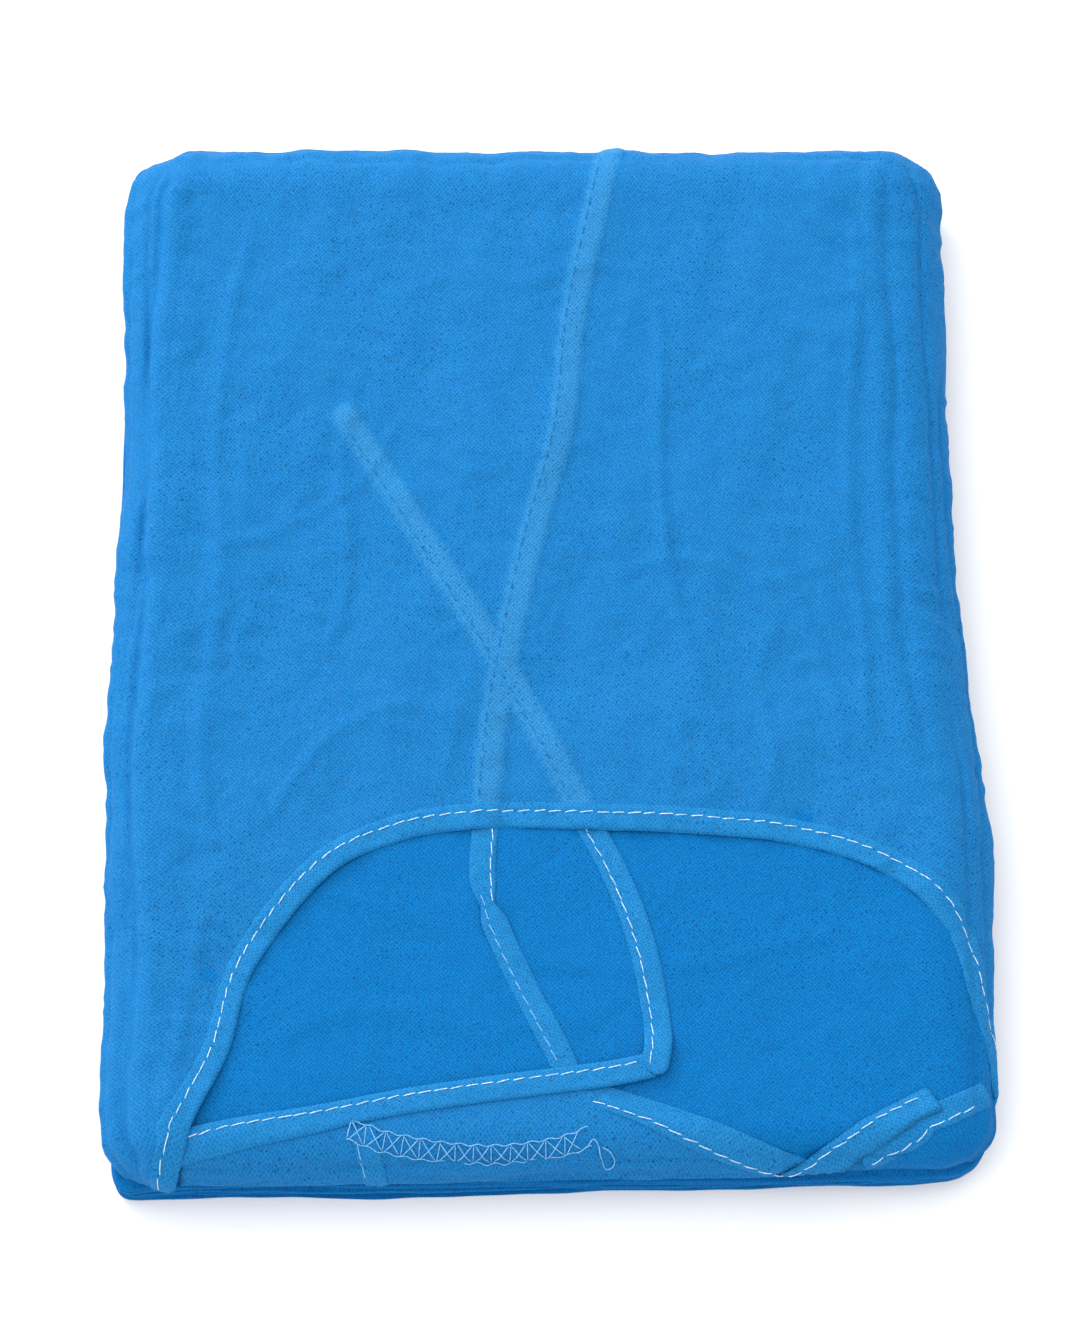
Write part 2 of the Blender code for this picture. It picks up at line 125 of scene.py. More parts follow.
@dataclass(frozen=True)
class Stack:
    """The folded stack's form. Lengths are in metres and match the solid model's."""

    half_width: float = 143 * MM
    half_length: float = 175 * MM
    top: float = 28 * MM
    drop: float = 16 * MM
    side: float = 24 * MM
    far: float = 20 * MM
    near: float = 13 * MM
    skin: float = 4 * MM
    quarter: float = 1.4
    corner: float = 8.0
    right_taper: float = 0.068
    left_taper: float = 0.02
    left_near_taper: float = 0.018
    near_slant: float = 0.094
    hem_turn: float = 1.36
    centre: tuple[float, float] = (-0.45 * MM, 2.4 * MM)

    @property
    def inner_x(self) -> float:
        """Half the flat top's width."""
        return self.half_width - self.side - self.skin

    @property
    def inner_far(self) -> float:
        """How far the flat top reaches away from the neck hole."""
        return self.half_length - self.far - self.skin

    @property
    def inner_near(self) -> float:
        """How far the flat top reaches on the neck hole's side."""
        return self.half_length - self.near - self.skin

    @property
    def side_end(self) -> float:
        """Where a sheet ends at the sides, tucked in over the lower folds."""
        return self.inner_x + self.hem_turn * self.side

    @property
    def far_end(self) -> float:
        """Where a sheet ends at the far side."""
        return self.inner_far + self.hem_turn * self.far

    @property
    def near_end(self) -> float:
        """Where a sheet ends at the near side."""
        return -self.inner_near - self.hem_turn * self.near

    def roll_share(self, p: Array, q: Array) -> Array:
        """How far round the rolled edge a place is, as a share of the roll's size: 0 on the flat top.

        Args:
            p: across the cloth.
            q: along the cloth.

        Returns:
            The larger of the shares at the side and at the end.
        """
        side = np.maximum(np.abs(p) - self.inner_x, 0) / self.side
        end = np.where(q < 0, (-q - self.inner_near) / self.near, (q - self.inner_far) / self.far)
        return np.maximum(side, end)

    def tapered(self, x: Array, y: Array) -> tuple[Array, Array]:
        """Draws the plan in towards the far end and slants its near end.

        The width is multiplied by one minus an eased share of the distance along the stack.

        Args:
            x: across the stack.
            y: along the stack.

        Returns:
            x and y after the taper.
        """
        right = 1 - self.right_taper * smooth((y + 100 * MM) / (170 * MM))
        left = 1 - self.left_taper * smooth((y + 20 * MM) / (40 * MM))
        left = left - self.left_near_taper * smooth((-70 * MM - y) / (40 * MM))
        width = np.where(x > 0, right, left)
        length = np.where(y < 0, 1 - self.near_slant * x, 1.0)
        return x * width + self.centre[0], y * length + self.centre[1]

    def lay(self, p: Array, q: Array, lift: Array) -> Array:
        """Lays cloth coordinates over the stack.

        Past the flat top the cloth follows an elliptical roll through a right angle, in the
        direction in which it leaves the flat top, and the lift is along the surface's normal.

        Args:
            p: across the cloth.
            q: along the cloth.
            lift: height above the stack.

        Returns:
            Points, with x, y and z on the last axis.
        """
        p, q, lift = np.broadcast_arrays(p, q, lift)
        inner_y = np.where(q < 0, self.inner_near, self.inner_far)
        roll_y = np.where(q < 0, self.near, self.far)
        over_x = np.maximum(np.abs(p) - self.inner_x, 0) / self.side
        over_y = np.maximum(np.abs(q) - inner_y, 0) / roll_y
        span = np.maximum(np.hypot(over_x, over_y), 1e-9)
        reach = (over_x ** self.corner + over_y ** self.corner) ** (1 / self.corner)
        turn = np.minimum(reach / self.quarter, 1) * np.pi / 2
        below = np.maximum(reach - self.quarter, 0) * self.side
        east = np.sign(p) * over_x / span * np.sin(turn)
        north = np.sign(q) * over_y / span * np.sin(turn)
        normal = np.stack((east / self.side, north / roll_y, np.cos(turn) / self.drop), axis=-1)
        normal /= np.linalg.norm(normal, axis=-1, keepdims=True)
        x = np.clip(p, -self.inner_x, self.inner_x) + self.side * east + normal[..., 0] * lift
        y = np.clip(q, -inner_y, inner_y) + roll_y * north + normal[..., 1] * lift
        z = self.top - self.drop * (1 - np.cos(turn)) - below + normal[..., 2] * lift
        x, y = self.tapered(x, y)
        return np.stack((x, y, z), axis=-1)


@dataclass(frozen=True)
class Line:
    """A smooth line through named places in cloth coordinates, in millimetres."""

    places: tuple[tuple[float, float], ...]

    def sampled(self, step: float) -> tuple[Array, Array, Array]:
        """Evenly spaced stations on the line.

        Between places the line is a cubic whose slopes are the mean of the chords on either side.

        Args:
            step: the spacing in metres.

        Returns:
            The stations, the unit direction to the left at each, and the distance along.
        """
        rows = np.array(self.places) * MM
        knots = np.concatenate(([0], np.cumsum(np.hypot(*np.diff(rows, axis=0).T))))
        slopes = np.gradient(rows, knots, axis=0)
        u = np.linspace(0, knots[-1], 40 * len(rows))
        k = np.clip(np.searchsorted(knots, u, side="right") - 1, 0, len(rows) - 2)
        width = (knots[k + 1] - knots[k])[:, None]
        t = (u - knots[k])[:, None] / width
        curve = ((2 * t ** 3 - 3 * t ** 2 + 1) * rows[k] + (t ** 3 - 2 * t ** 2 + t) * width * slopes[k]
                 + (3 * t ** 2 - 2 * t ** 3) * rows[k + 1] + (t ** 3 - t ** 2) * width * slopes[k + 1])
        along = np.concatenate(([0], np.cumsum(np.hypot(*np.diff(curve, axis=0).T))))
        count = max(int(round(along[-1] / step)), 2)
        wanted = np.linspace(0, along[-1], count + 1)
        found = np.stack([np.interp(wanted, along, curve[:, axis]) for axis in (0, 1)], axis=1)
        ahead = np.gradient(found, wanted, axis=0)
        ahead /= np.linalg.norm(ahead, axis=1, keepdims=True)
        return found, np.stack((-ahead[:, 1], ahead[:, 0]), axis=1), wanted

    def nearest(self, p: Array, q: Array) -> tuple[Array, Array]:
        """The signed distance to the line, and how far along the line its nearest point lies.

        Args:
            p: across the cloth.
            q: along the cloth.

        Returns:
            The distance, positive on the line's left, and the distance along the line.
        """
        found, _, along = self.sampled(SAMPLE_STEP)
        best = np.full(np.shape(p), np.inf)
        signed = np.zeros(np.shape(p))
        where = np.zeros(np.shape(p))
        for start, end, at in zip(found, found[1:], along):
            step = end - start
            length = float(np.hypot(*step))
            to_p, to_q = p - start[0], q - start[1]
            t = np.clip((to_p * step[0] + to_q * step[1]) / length ** 2, 0, 1)
            away = np.hypot(to_p - t * step[0], to_q - t * step[1])
            left = np.sign(step[0] * to_q - step[1] * to_p)
            closer = away < best
            best = np.where(closer, away, best)
            signed = np.where(closer, away * left, signed)
            where = np.where(closer, at + t * length, where)
        return signed, where

    def fading(self, along: Array, over: float) -> Array:
        """Eases from 0 to 1 and back to 0 over the line's two ends.

        Args:
            along: distance along the line.
            over: how long each end's fade is.

        Returns:
            The share that is left.
        """
        length = self.sampled(SAMPLE_STEP)[2][-1]
        return smooth(along / over) * smooth((length - along) / over)


def ripple(p: Array, q: Array, wavelength: float, seed: int, waves: int = 9) -> Array:
    """Uneven soft waves: a sum of sines that run in different directions.

    Each sine has a wavelength within a third of the given one, and a direction and a phase of its
    own. The sum is scaled to reach about 1.

    Args:
        p: across the cloth.
        q: along the cloth.
        wavelength: the middle wavelength in metres.
        seed: the pattern's number.
        waves: how many sines are summed.

    Returns:
        The waves' height at each point.
    """
    chosen = np.random.default_rng(seed)
    total = np.zeros(np.broadcast(p, q).shape)
    for _ in range(waves):
        heading = chosen.uniform(0, math.tau)
        number = math.tau / (wavelength * chosen.uniform(0.7, 1.4))
        phase = chosen.uniform(0, math.tau)
        total += np.sin(number * (p * math.cos(heading) + q * math.sin(heading)) + phase)
    return total / math.sqrt(waves)


def crumple(p: Array, q: Array, wavelength: float, seed: int) -> Array:
    """Sharp-edged crumples: one minus twice the size of each of two ripples, the larger taken.

    Args:
        p: across the cloth.
        q: along the cloth.
        wavelength: the first ripple's wavelength in metres.
        seed: the pattern's number.

    Returns:
        The crumples' height at each point, at most 1.
    """
    first = 1 - 2 * np.abs(ripple(p, q, wavelength, seed, 6))
    second = 1 - 2 * np.abs(ripple(p, q, wavelength * 0.7, seed + 1, 6))
    return np.maximum(first, second)


@dataclass(frozen=True)
class Crease:
    """A pressed crease in the cloth: a line, a height and a width, in millimetres."""

    line: Line
    height: float
    width: float

    def lift(self, p: Array, q: Array) -> Array:
        """The crease's height at each point: a bell across it, fading over its two ends.

        Args:
            p: across the cloth.
            q: along the cloth.

        Returns:
            The height in metres.
        """
        away, along = self.line.nearest(p, q)
        return self.height * MM * bell(away / (self.width * MM)) * self.line.fading(along, 12 * MM)


def grid_faces(rows: int, columns: int, closed: bool = False) -> Array:
    """The quads of a grid of points.

    Args:
        rows: how many rows of points.
        columns: how many points in each row.
        closed: whether each row joins round on itself.

    Returns:
        Four point numbers for each quad, anticlockwise seen from above.
    """
    row = np.arange(rows - 1)[:, None]
    column = np.arange(columns if closed else columns - 1)[None, :]
    after = (column + 1) % columns
    a, b = row * columns + column, row * columns + after
    return np.stack((a, b, b + columns, a + columns), axis=-1).reshape(-1, 4)


def make_object(name: str, points: Array, faces: list, finish: bpy.types.Material,
                chart: Array | None = None, marks: dict[str, Array] | None = None) -> bpy.types.Object:
    """Makes a mesh object from arrays.

    Args:
        name: the piece's name.
        points: the points, in any grid shape with x, y and z last.
        faces: each face's point numbers.
        finish: the material.
        chart: each point's cloth coordinates for the UV map, in metres.
        marks: named values for each point.

    Returns:
        The object, in the scene.
    """
    flat = points.reshape(-1, 3)
    mesh = bpy.data.meshes.new(name)
    mesh.from_pydata(flat.tolist(), [], faces)
    mesh.polygons.foreach_set("use_smooth", np.ones(len(mesh.polygons), dtype=bool))
    if chart is not None:
        layer = mesh.uv_layers.new(name="cloth")
        corners = np.zeros(len(mesh.loops), dtype=np.int32)
        mesh.loops.foreach_get("vertex_index", corners)
        layer.data.foreach_set("uv", chart.reshape(-1, 2)[corners].ravel())
    for key, values in (marks or {}).items():
        mark = mesh.attributes.new(key, "FLOAT", "POINT")
        mark.data.foreach_set("value", values.ravel().astype(np.float32))
    mesh.materials.append(finish)
    made = bpy.data.objects.new(name, mesh)
    bpy.context.scene.collection.objects.link(made)
    mesh.update()
    return made


def give_wall(piece: bpy.types.Object, thickness: float) -> None:
    """Gives a sheet the thickness of its cloth, outwards from the side it lies on.

    Args:
        piece: the sheet.
        thickness: the cloth's thickness in metres.
    """
    wall = piece.modifiers.new("Cloth thickness", "SOLIDIFY")
    wall.thickness = thickness
    wall.offset = 1.0


def stand_in(piece: bpy.types.Object, node: str | None = None) -> None:
    """Joins a piece to the gown's one body.

    Args:
        piece: the piece.
        node: the node it stands for, or None for a piece that only adds detail.
    """
    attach(piece, BODY)
    if node:
        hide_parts(node)


def make_sheet(name: str, grid: tuple[Array, Array], points: Array, finish: bpy.types.Material,
               thickness: float, node: str,
               marks: dict[str, Array] | None = None) -> bpy.types.Object:
    """Makes a panel from its laid points: a sheet with its cloth's thickness, joined to the gown's body in
    place of its node.

    Args:
        name: the panel's name.
        grid: p and q of its points.
        points: where the points lie.
        finish: its material.
        thickness: the cloth's thickness in metres.
        node: the node it stands for.
        marks: named values for each point.

    Returns:
        The panel.
    """
    piece = make_object(name, points, grid_faces(*grid[0].shape).tolist(), finish,
                        np.stack(grid, axis=-1), marks)
    give_wall(piece, thickness)
    stand_in(piece, node)
    return piece


def new_material(name: str) -> tuple[bpy.types.Material, bpy.types.NodeTree, bpy.types.Node]:
    """Makes a material with nodes.

    Args:
        name: the material's name.

    Returns:
        The material, its node tree and its shader.
    """
    made = bpy.data.materials.new(name)
    made.use_nodes = True
    return made, made.node_tree, made.node_tree.nodes["Principled BSDF"]


@dataclass(frozen=True)
class Nonwoven:
    """Spunbond polypropylene nonwoven, bonded between hot embossed rollers.

    The bond points are small glossy pits in a diamond grid, the fibres between them are matt and
    cloudy, and a few dark fibre clots are left in the web.
    """

    name: str = "spunbond_nonwoven"
    body: str = "156CAB"
    cloud: str = "237DB6"
    clot: str = "07325E"
    over_tape: str = "3C8ABE"
    pitch: float = 1.0 * MM
    roughness: float = 0.6
    bump: float = 0.6
    creasing: float = 0.35

    def material(self) -> bpy.types.Material:
        """Builds the material. The emboss follows the cloth's own UV map, in metres.

        Returns:
            The material.
        """
        made, tree, shader = new_material(self.name)
        chart = add_node(tree, "ShaderNodeUVMap", {"uv_map": "cloth"}, {})
        scaled = add_node(tree, "ShaderNodeMapping", {
            "Rotation": (0, 0, math.radians(45)), "Scale": (1 / self.pitch, 1 / self.pitch, 1),
        }, {"Vector": chart.outputs[0]})
        # A regular Voronoi has its cells on a square grid; turned by 45 degrees it is the diamond emboss
        pits = add_node(tree, "ShaderNodeTexVoronoi", {
            "voronoi_dimensions": "2D", "feature": "F1", "Scale": 1.0, "Randomness": 0.4,
        }, {"Vector": scaled.outputs[0]})
        pit = add_node(tree, "ShaderNodeMapRange", {1: 0.16, 2: 0.42, 3: 0.0, 4: 1.0},
                       {0: pits.outputs["Distance"]})
        place = add_node(tree, "ShaderNodeTexCoord", {}, {})
        # Fibre clouds in the web are some 6 mm across
        clouds = add_node(tree, "ShaderNodeTexNoise", {"Scale": 210.0, "Detail": 5.0, "Roughness": 0.62},
                          {"Vector": place.outputs["Object"]})
        # Single fibres are finer than a pixel, so they are drawn as 0.5 mm mottling
        fibres = add_node(tree, "ShaderNodeTexNoise", {"Scale": 2000.0, "Detail": 2.0, "Roughness": 0.6},
                          {"Vector": place.outputs["Object"]})
        cloudy = add_node(tree, "ShaderNodeMapRange", {1: 0.36, 2: 0.68, 3: 0.0, 4: 0.24},
                          {0: clouds.outputs[0]})
        base = add_node(tree, "ShaderNodeMix", {
            "data_type": "RGBA", 6: linear(self.body), 7: linear(self.cloud),
        }, {0: cloudy.outputs[0]})
        under = add_node(tree, "ShaderNodeAttribute", {"attribute_name": "over_tape"}, {})
        taped = add_node(tree, "ShaderNodeMix", {"data_type": "RGBA", 7: linear(self.over_tape)},
                         {0: under.outputs["Fac"], 6: base.outputs[2]})
        mottled = add_node(tree, "ShaderNodeMapRange", {1: 0.35, 2: 0.65, 3: 0.84, 4: 1.12},
                           {0: fibres.outputs[0]})
        dotted = add_node(tree, "ShaderNodeMapRange", {1: 0.0, 2: 1.0, 3: 0.74, 4: 1.06},
                          {0: pit.outputs[0]})
        shade = add_node(tree, "ShaderNodeMath", {"operation": "MULTIPLY"},
                         {0: mottled.outputs[0], 1: dotted.outputs[0]})
        shaded = add_node(tree, "ShaderNodeVectorMath", {"operation": "SCALE"},
                          {0: taped.outputs[2], "Scale": shade.outputs[0]})
        bent = add_node(tree, "ShaderNodeTexNoise", {"Scale": 26.0, "Detail": 3.0},
                        {"Vector": chart.outputs[0]})
        # Clots are specks about 0.5 mm across, one every 3 mm or so, and thicker in some places
        specks = add_node(tree, "ShaderNodeTexVoronoi", {
            "voronoi_dimensions": "2D", "feature": "F1", "Scale": 330.0, "Randomness": 1.0,
        }, {"Vector": chart.outputs[0]})
        clotted = add_node(tree, "ShaderNodeMapRange", {1: 0.4, 2: 0.6, 3: 0.2, 4: 0.85},
                           {0: bent.outputs[0]})
        speck = add_node(tree, "ShaderNodeMapRange", {1: 0.05, 2: 0.12, 4: 0.0},
                         {0: specks.outputs["Distance"], 3: clotted.outputs[0]})
        final = add_node(tree, "ShaderNodeMix", {"data_type": "RGBA", 7: linear(self.clot)},
                         {0: speck.outputs[0], 6: shaded.outputs[0]})
        relief = add_node(tree, "ShaderNodeMath", {"operation": "MULTIPLY_ADD", 1: 0.5},
                          {0: fibres.outputs[0], 2: pit.outputs[0]})
        # Handling leaves sharp little creases, 15 to 40 mm apart: the edges of bent cells
        shifted = add_node(tree, "ShaderNodeVectorMath", {"operation": "MULTIPLY_ADD", 1: (0.03, 0.03, 0)},
                           {0: bent.outputs[1], 2: chart.outputs[0]})
        cells = add_node(tree, "ShaderNodeTexVoronoi", {
            "voronoi_dimensions": "2D", "feature": "DISTANCE_TO_EDGE", "Scale": 30.0, "Randomness": 1.0,
        }, {"Vector": shifted.outputs[0]})
        crease = add_node(tree, "ShaderNodeMapRange", {1: 0.0, 2: 0.09, 3: 0.0, 4: 1.0},
                          {0: cells.outputs["Distance"]})
        creased = add_node(tree, "ShaderNodeBump", {"Strength": self.creasing, "Distance": 0.35 * MM},
                           {"Height": crease.outputs[0]})
        bumped = add_node(tree, "ShaderNodeBump", {"Strength": self.bump, "Distance": 0.12 * MM},
                          {"Height": relief.outputs[0], "Normal": creased.outputs[0]})
        tree.links.new(final.outputs[2], shader.inputs["Base Color"])
        tree.links.new(bumped.outputs[0], shader.inputs["Normal"])
        shader.inputs["Roughness"].default_value = self.roughness
        shader.inputs["IOR"].default_value = 1.49
        shader.inputs["Specular IOR Level"].default_value = 0.06
        return made


@dataclass(frozen=True)
class PolyesterThread:
    """White spun polyester sewing thread: a matt twisted yarn, painted pale blue for the light that the blue
    cloth round it bounces onto it.
    """

    name: str = "polyester_thread"
    body: str = "CFE2F0"
    shadow: str = "8CBBDD"

    def material(self) -> bpy.types.Material:
        """Builds the material: pale thread, with painted shade, darker and bluer, in its twist.

        Returns:
            The material.
        """
        made, tree, shader = new_material(self.name)
        place = add_node(tree, "ShaderNodeTexCoord", {}, {})
        twist = add_node(tree, "ShaderNodeTexNoise", {"Scale": 1500.0, "Detail": 2.0},
                         {"Vector": place.outputs["Object"]})
        # Painted shade: the thread darkens towards its bluer shadow colour in the grooves of its twist
        painted_twist_shade = add_node(tree, "ShaderNodeMapRange", {1: 0.4, 2: 0.62, 3: 0.0, 4: 1.0},
                        {0: twist.outputs[0]})
        colour = add_node(tree, "ShaderNodeMix", {
            "data_type": "RGBA", 6: linear(self.shadow), 7: linear(self.body),
        }, {0: painted_twist_shade.outputs[0]})
        tree.links.new(colour.outputs[2], shader.inputs["Base Color"])
        shader.inputs["Roughness"].default_value = 0.6
        shader.inputs["Sheen Weight"].default_value = 0.1
        return made


@dataclass(frozen=True)
class StudioPaper:
    """Seamless white background paper: matt and even."""

    name: str = "background_paper"
    body: str = "F6F6F6"

    def material(self) -> bpy.types.Material:
        """Builds the material: white with a faint tooth.

        Returns:
            The material.
        """
        made, tree, shader = new_material(self.name)
        place = add_node(tree, "ShaderNodeTexCoord", {}, {})
        tooth = add_node(tree, "ShaderNodeTexNoise", {"Scale": 300.0, "Detail": 2.0},
                         {"Vector": place.outputs["Object"]})
        bumped = add_node(tree, "ShaderNodeBump", {"Strength": 0.05, "Distance": 0.05 * MM},
                          {"Height": tooth.outputs[0]})
        tree.links.new(bumped.outputs[0], shader.inputs["Normal"])
        shader.inputs["Base Color"].default_value = linear(self.body)
        shader.inputs["Roughness"].default_value = 0.9
        return made


@dataclass
class Finishes:
    """The gown's materials, made once."""

    cloth: bpy.types.Material = field(default_factory=lambda: Nonwoven().material())
    # A darker copy of the cloth, for the right back in the neck hole and the folded plies round the sides:
    # partly the deeper tone of doubled plies, partly painted shade of the deep neck hole and the rolled
    # sides.
    inside: bpy.types.Material = field(default_factory=lambda: Nonwoven(
        name="spunbond_nonwoven_doubled_and_shaded", body="0365A7", cloud="0A73B0").material())
    tape: bpy.types.Material = field(default_factory=lambda: Nonwoven(
        name="spunbond_nonwoven_tape", body="1972AF", cloud="2B85BB", bump=0.45, creasing=0.1).material())
    thread: bpy.types.Material = field(default_factory=lambda: PolyesterThread().material())
    looper: bpy.types.Material = field(default_factory=lambda: PolyesterThread(
        name="polyester_looper_thread", body="78B6E0", shadow="4C99D0").material())


STACK = Stack()
NECK_EDGE = Line((
    (-119.4, -177), (-117.9, -173.6), (-111, -156), (-100.3, -134), (-93.8, -110.2), (-81.3, -92),
    (-62.8, -74), (-42.4, -65.7), (-14.1, -62.6), (17.5, -63.4), (49.2, -64.9), (80.7, -68.7),
    (100.9, -75.1), (115.5, -84.3), (123.6, -96), (127.8, -107), (131, -118), (135, -129),
    (139.3, -139.5), (143.2, -150), (147.2, -161.5),
))
LEFT_BACK_EDGE = Line((
    (-116, -162.4), (-96.1, -158.9), (-71, -155.3), (-45.8, -150.9), (-20.5, -147.4),
    (4.7, -144.5), (23.4, -142.2), (36.5, -139.4),
))
LEFT_NECK_TIE = Line((
    (33.6, -143.2), (35.2, -134), (33.6, -116.3), (29.3, -96.9), (22.1, -77.2), (14, -61.4), (5, -45),
))
LEFT_NECK_TIE_HIDDEN = Line((
    (14, -61.4), (-1.5, -31), (-14.3, -7.7), (-30.9, 19.2), (-47.4, 46.3), (-65.7, 75.3),
))
RIGHT_NECK_TIE_UPPER = Line((
    (-19, -45), (-19, -62.5), (-19.4, -81), (-17, -91), (-13.6, -98),
))
RIGHT_NECK_TIE_LOWER = Line((
    (-20.6, -82), (-17.8, -89), (-13.4, -99.5), (-7.4, -112.3), (-1.5, -124), (5.3, -137.8), (6.9, -141.8),
))
RIGHT_NECK_TIE_HIDDEN = Line((
    (-19, -62.5), (-16.7, -30.9), (-11.8, -0.3), (-4.9, 32.7), (5.9, 73.6), (9.4, 108.1),
    (15.7, 139.5), (23.6, 171),
))


def tape_relief(line: Line, p: Array, q: Array) -> Array:
    """How a hidden tape lifts the cloth on it: a flat top with eased edges.

    Args:
        line: the tape's centre line.
        p: across the cloth.
        q: along the cloth.

    Returns:
        The cloth's rise at each point.
    """
    thickness = 0.75 * MM
    half_width = 4.2 * MM
    away, _ = line.nearest(p, q)
    return thickness * smooth((half_width + 1.1 * MM - np.abs(away)) / (1.9 * MM))


@dataclass
class FrontBody:
    """The front body panel, from its bound neck edge over the far fold and down both sides."""

    finishes: Finishes
    step: float = 1.5 * MM
    cloth: float = 0.4 * MM
    binding_width: float = 8.5 * MM
    hidden_left: Line = LEFT_NECK_TIE_HIDDEN
    hidden_right: Line = RIGHT_NECK_TIE_HIDDEN
    creases: tuple[Crease, ...] = (
        Crease(Line(((39, 118), (39.9, 97.7), (39.5, 49.7), (41, 20))), 1.05, 2.0),
        Crease(Line(((39.5, 49.7), (46, 2), (60, -38))), 0.75, 2.0),
        Crease(Line(((108, 150), (109, 122), (106, 90.8), (104, 40), (106, -8), (104, -40))), 0.75, 2.2),
        Crease(Line(((-96, 150), (-104, 110), (-108, 60), (-106, 10), (-109, -40), (-104, -75))), 0.825, 3.0),
        Crease(Line(((-70, -8), (-64, 24), (-67, 60), (-60, 96))), 0.75, 2.4),
        Crease(Line(((-88, -62), (-70, -34), (-45, -22), (-20, -28))), 0.675, 2.2),
        Crease(Line(((-113, 30), (-90, 36), (-62, 52), (-44, 80))), 0.6, 2.0),
        Crease(Line(((-30, 130), (-8, 122), (14, 128), (40, 124))), 0.45, 2.6),
        Crease(Line(((60, 60), (78, 30), (92, -8), (98, -44))), 0.675, 2.4),
        Crease(Line(((22, 20), (48, 28), (74, 20), (100, 26))), 0.525, 2.0),
        Crease(Line(((-34, -52), (-28, -24), (-38, 8))), 0.525, 2.0),
        Crease(Line(((66, -62), (74, -40), (70, -12), (80, 12))), 0.6, 2.0),
        Crease(Line(((-100, 120), (-76, 128), (-50, 118), (-26, 126))), 0.525, 2.4),
        Crease(Line(((52, 150), (60, 128), (84, 108), (108, 100))), 0.6, 2.2),
        Crease(Line(((-108, -84), (-112, -108), (-116, -134), (-121, -164))), 0.675, 2.6),
    )
    left_fold: Line = Line(((-124, 166), (-127, 120), (-128.5, 60), (-127.5, 0), (-128.5, -60),
                            (-127, -110), (-129, -150), (-128, -176)))
    right_fold: Line = Line(((118, 168), (117.5, 122), (118.5, 80), (117, 30), (118, -10), (121, -44)))

    def base(self, p: Array, q: Array) -> Array:
        """What the panel lies on: it steps up on the right back, and its rolled edges stand fuller.

        Args:
            p: across the cloth.
            q: along the cloth.

        Returns:
            The height in metres.
        """
        lowest = 0.9 * MM
        on_right_back = 1.1 * MM * smooth((-8 * MM - q) / (22 * MM))
        fuller = 1.7 * MM * np.maximum(smooth((np.abs(p) - 112 * MM) / (16 * MM)),
                                       smooth((q - 148 * MM) / (14 * MM)))
        # The near left strip rides up over the end of the back neck binding
        strip = smooth((-138 * MM - q) / (14 * MM)) * smooth((p + 127 * MM) / (8 * MM)) * (p < 0)
        over_binding = 1.1 * MM * strip
        # Beside the neck hole's right end the cloth settles on the right back
        settled = 0.5 * MM * smooth((-60 * MM - q) / (20 * MM)) * smooth((p - 100 * MM) / (15 * MM))
        return lowest + on_right_back + fuller + over_binding - settled

    def handled(self, p: Array, q: Array) -> Array:
        """The cloth's own unevenness: two sizes of soft waves and two of crumples.

        The waves calm down towards the far fold, and the crumples grow towards the sides.

        Args:
            p: across the cloth.
            q: along the cloth.

        Returns:
            The height in metres.
        """
        edge = smooth((np.abs(p) - 95 * MM) / (35 * MM))
        calm = 1 - 0.6 * smooth((q - 125 * MM) / (35 * MM))
        waves = 0.8 * calm * ripple(p, q, 85 * MM, 3) + 0.36 * ripple(p * 1.5, q * 0.7, 32 * MM, 5)
        crumples = (0.3 + 0.14 * edge) * crumple(p * 0.8, q * 1.2, 34 * MM, 11)
        return (waves + crumples + 0.11 * crumple(p, q, 14 * MM, 17)) * MM

    def side_fold(self, p: Array, q: Array, fold: Line, drop: float, side: int) -> Array:
        """A fold that runs along one side: a raised roll, a groove, and a step down to the ply below.

        Args:
            p: across the cloth.
            q: along the cloth.
            fold: where it runs.
            drop: the step's height in metres.
            side: 1 on the right and -1 on the left.

        Returns:
            The height in metres.
        """
        away, along = fold.nearest(p, q)
        out = away * side + 0.9 * MM * np.sin(along / (17 * MM)) * np.sin(along / (31 * MM))
        roll = 0.6 * MM * bell((out + 3.4 * MM) / (2.6 * MM))
        groove = 1.2 * drop * bell((out - 1.6 * MM) / (1.9 * MM))
        step = 0.8 * drop * smooth(out / (2.8 * MM))
        return fold.fading(along, 18 * MM) * (roll - groove - step)

    def lift(self, p: Array, q: Array) -> Array:
        """The panel's height over the stack.

        It is the sum of its base, a low pillow, the larger of the two ties' relief, its own
        unevenness, the pressed creases and the two side folds.

        Args:
            p: across the cloth.
            q: along the cloth.

        Returns:
            The lift in metres.
        """
        pillow = 1.6 * MM * np.maximum(1 - (p / STACK.inner_x) ** 2, 0) * np.maximum(
            1 - ((q - 45 * MM) / (110 * MM)) ** 2, 0)
        ties = np.maximum(tape_relief(self.hidden_left, p, q), tape_relief(self.hidden_right, p, q))
        total = self.base(p, q) + pillow + ties + self.handled(p, q)
        for crease in self.creases:
            total = total + crease.lift(p, q)
        total = total + self.side_fold(p, q, self.left_fold, 1.5 * MM, -1)
        total = total + self.side_fold(p, q, self.right_fold, 0.8 * MM, 1)
        return tucked(p, q, np.maximum(total, 0.1 * MM) - flank_folds(p, q), -1.0 * MM)

    def neck(self, offset: float) -> Array:
        """The neck edge moved towards the panel.

        Args:
            offset: how far it is moved in metres.

        Returns:
            Stations in cloth coordinates.
        """
        found, left, _ = NECK_EDGE.sampled(self.step)
        moved = found + left * offset
        moved[:, 0] = np.minimum(moved[:, 0], STACK.side_end)
        return moved

    def grid(self) -> tuple[Array, Array]:
        """The panel's cloth coordinates: columns that start on the seam and end at the far fold.

        Returns:
            p and q of each point, by row and column.
        """
        seam = self.neck(self.binding_width - 3 * MM)
        seam = seam[seam[:, 0] < STACK.side_end - 0.1 * MM]
        seam = seam[np.concatenate(([True], np.diff(seam[:, 0]) > -1))]
        seam[:, 0] = np.maximum.accumulate(seam[:, 0] + np.arange(len(seam)) * 1e-7)
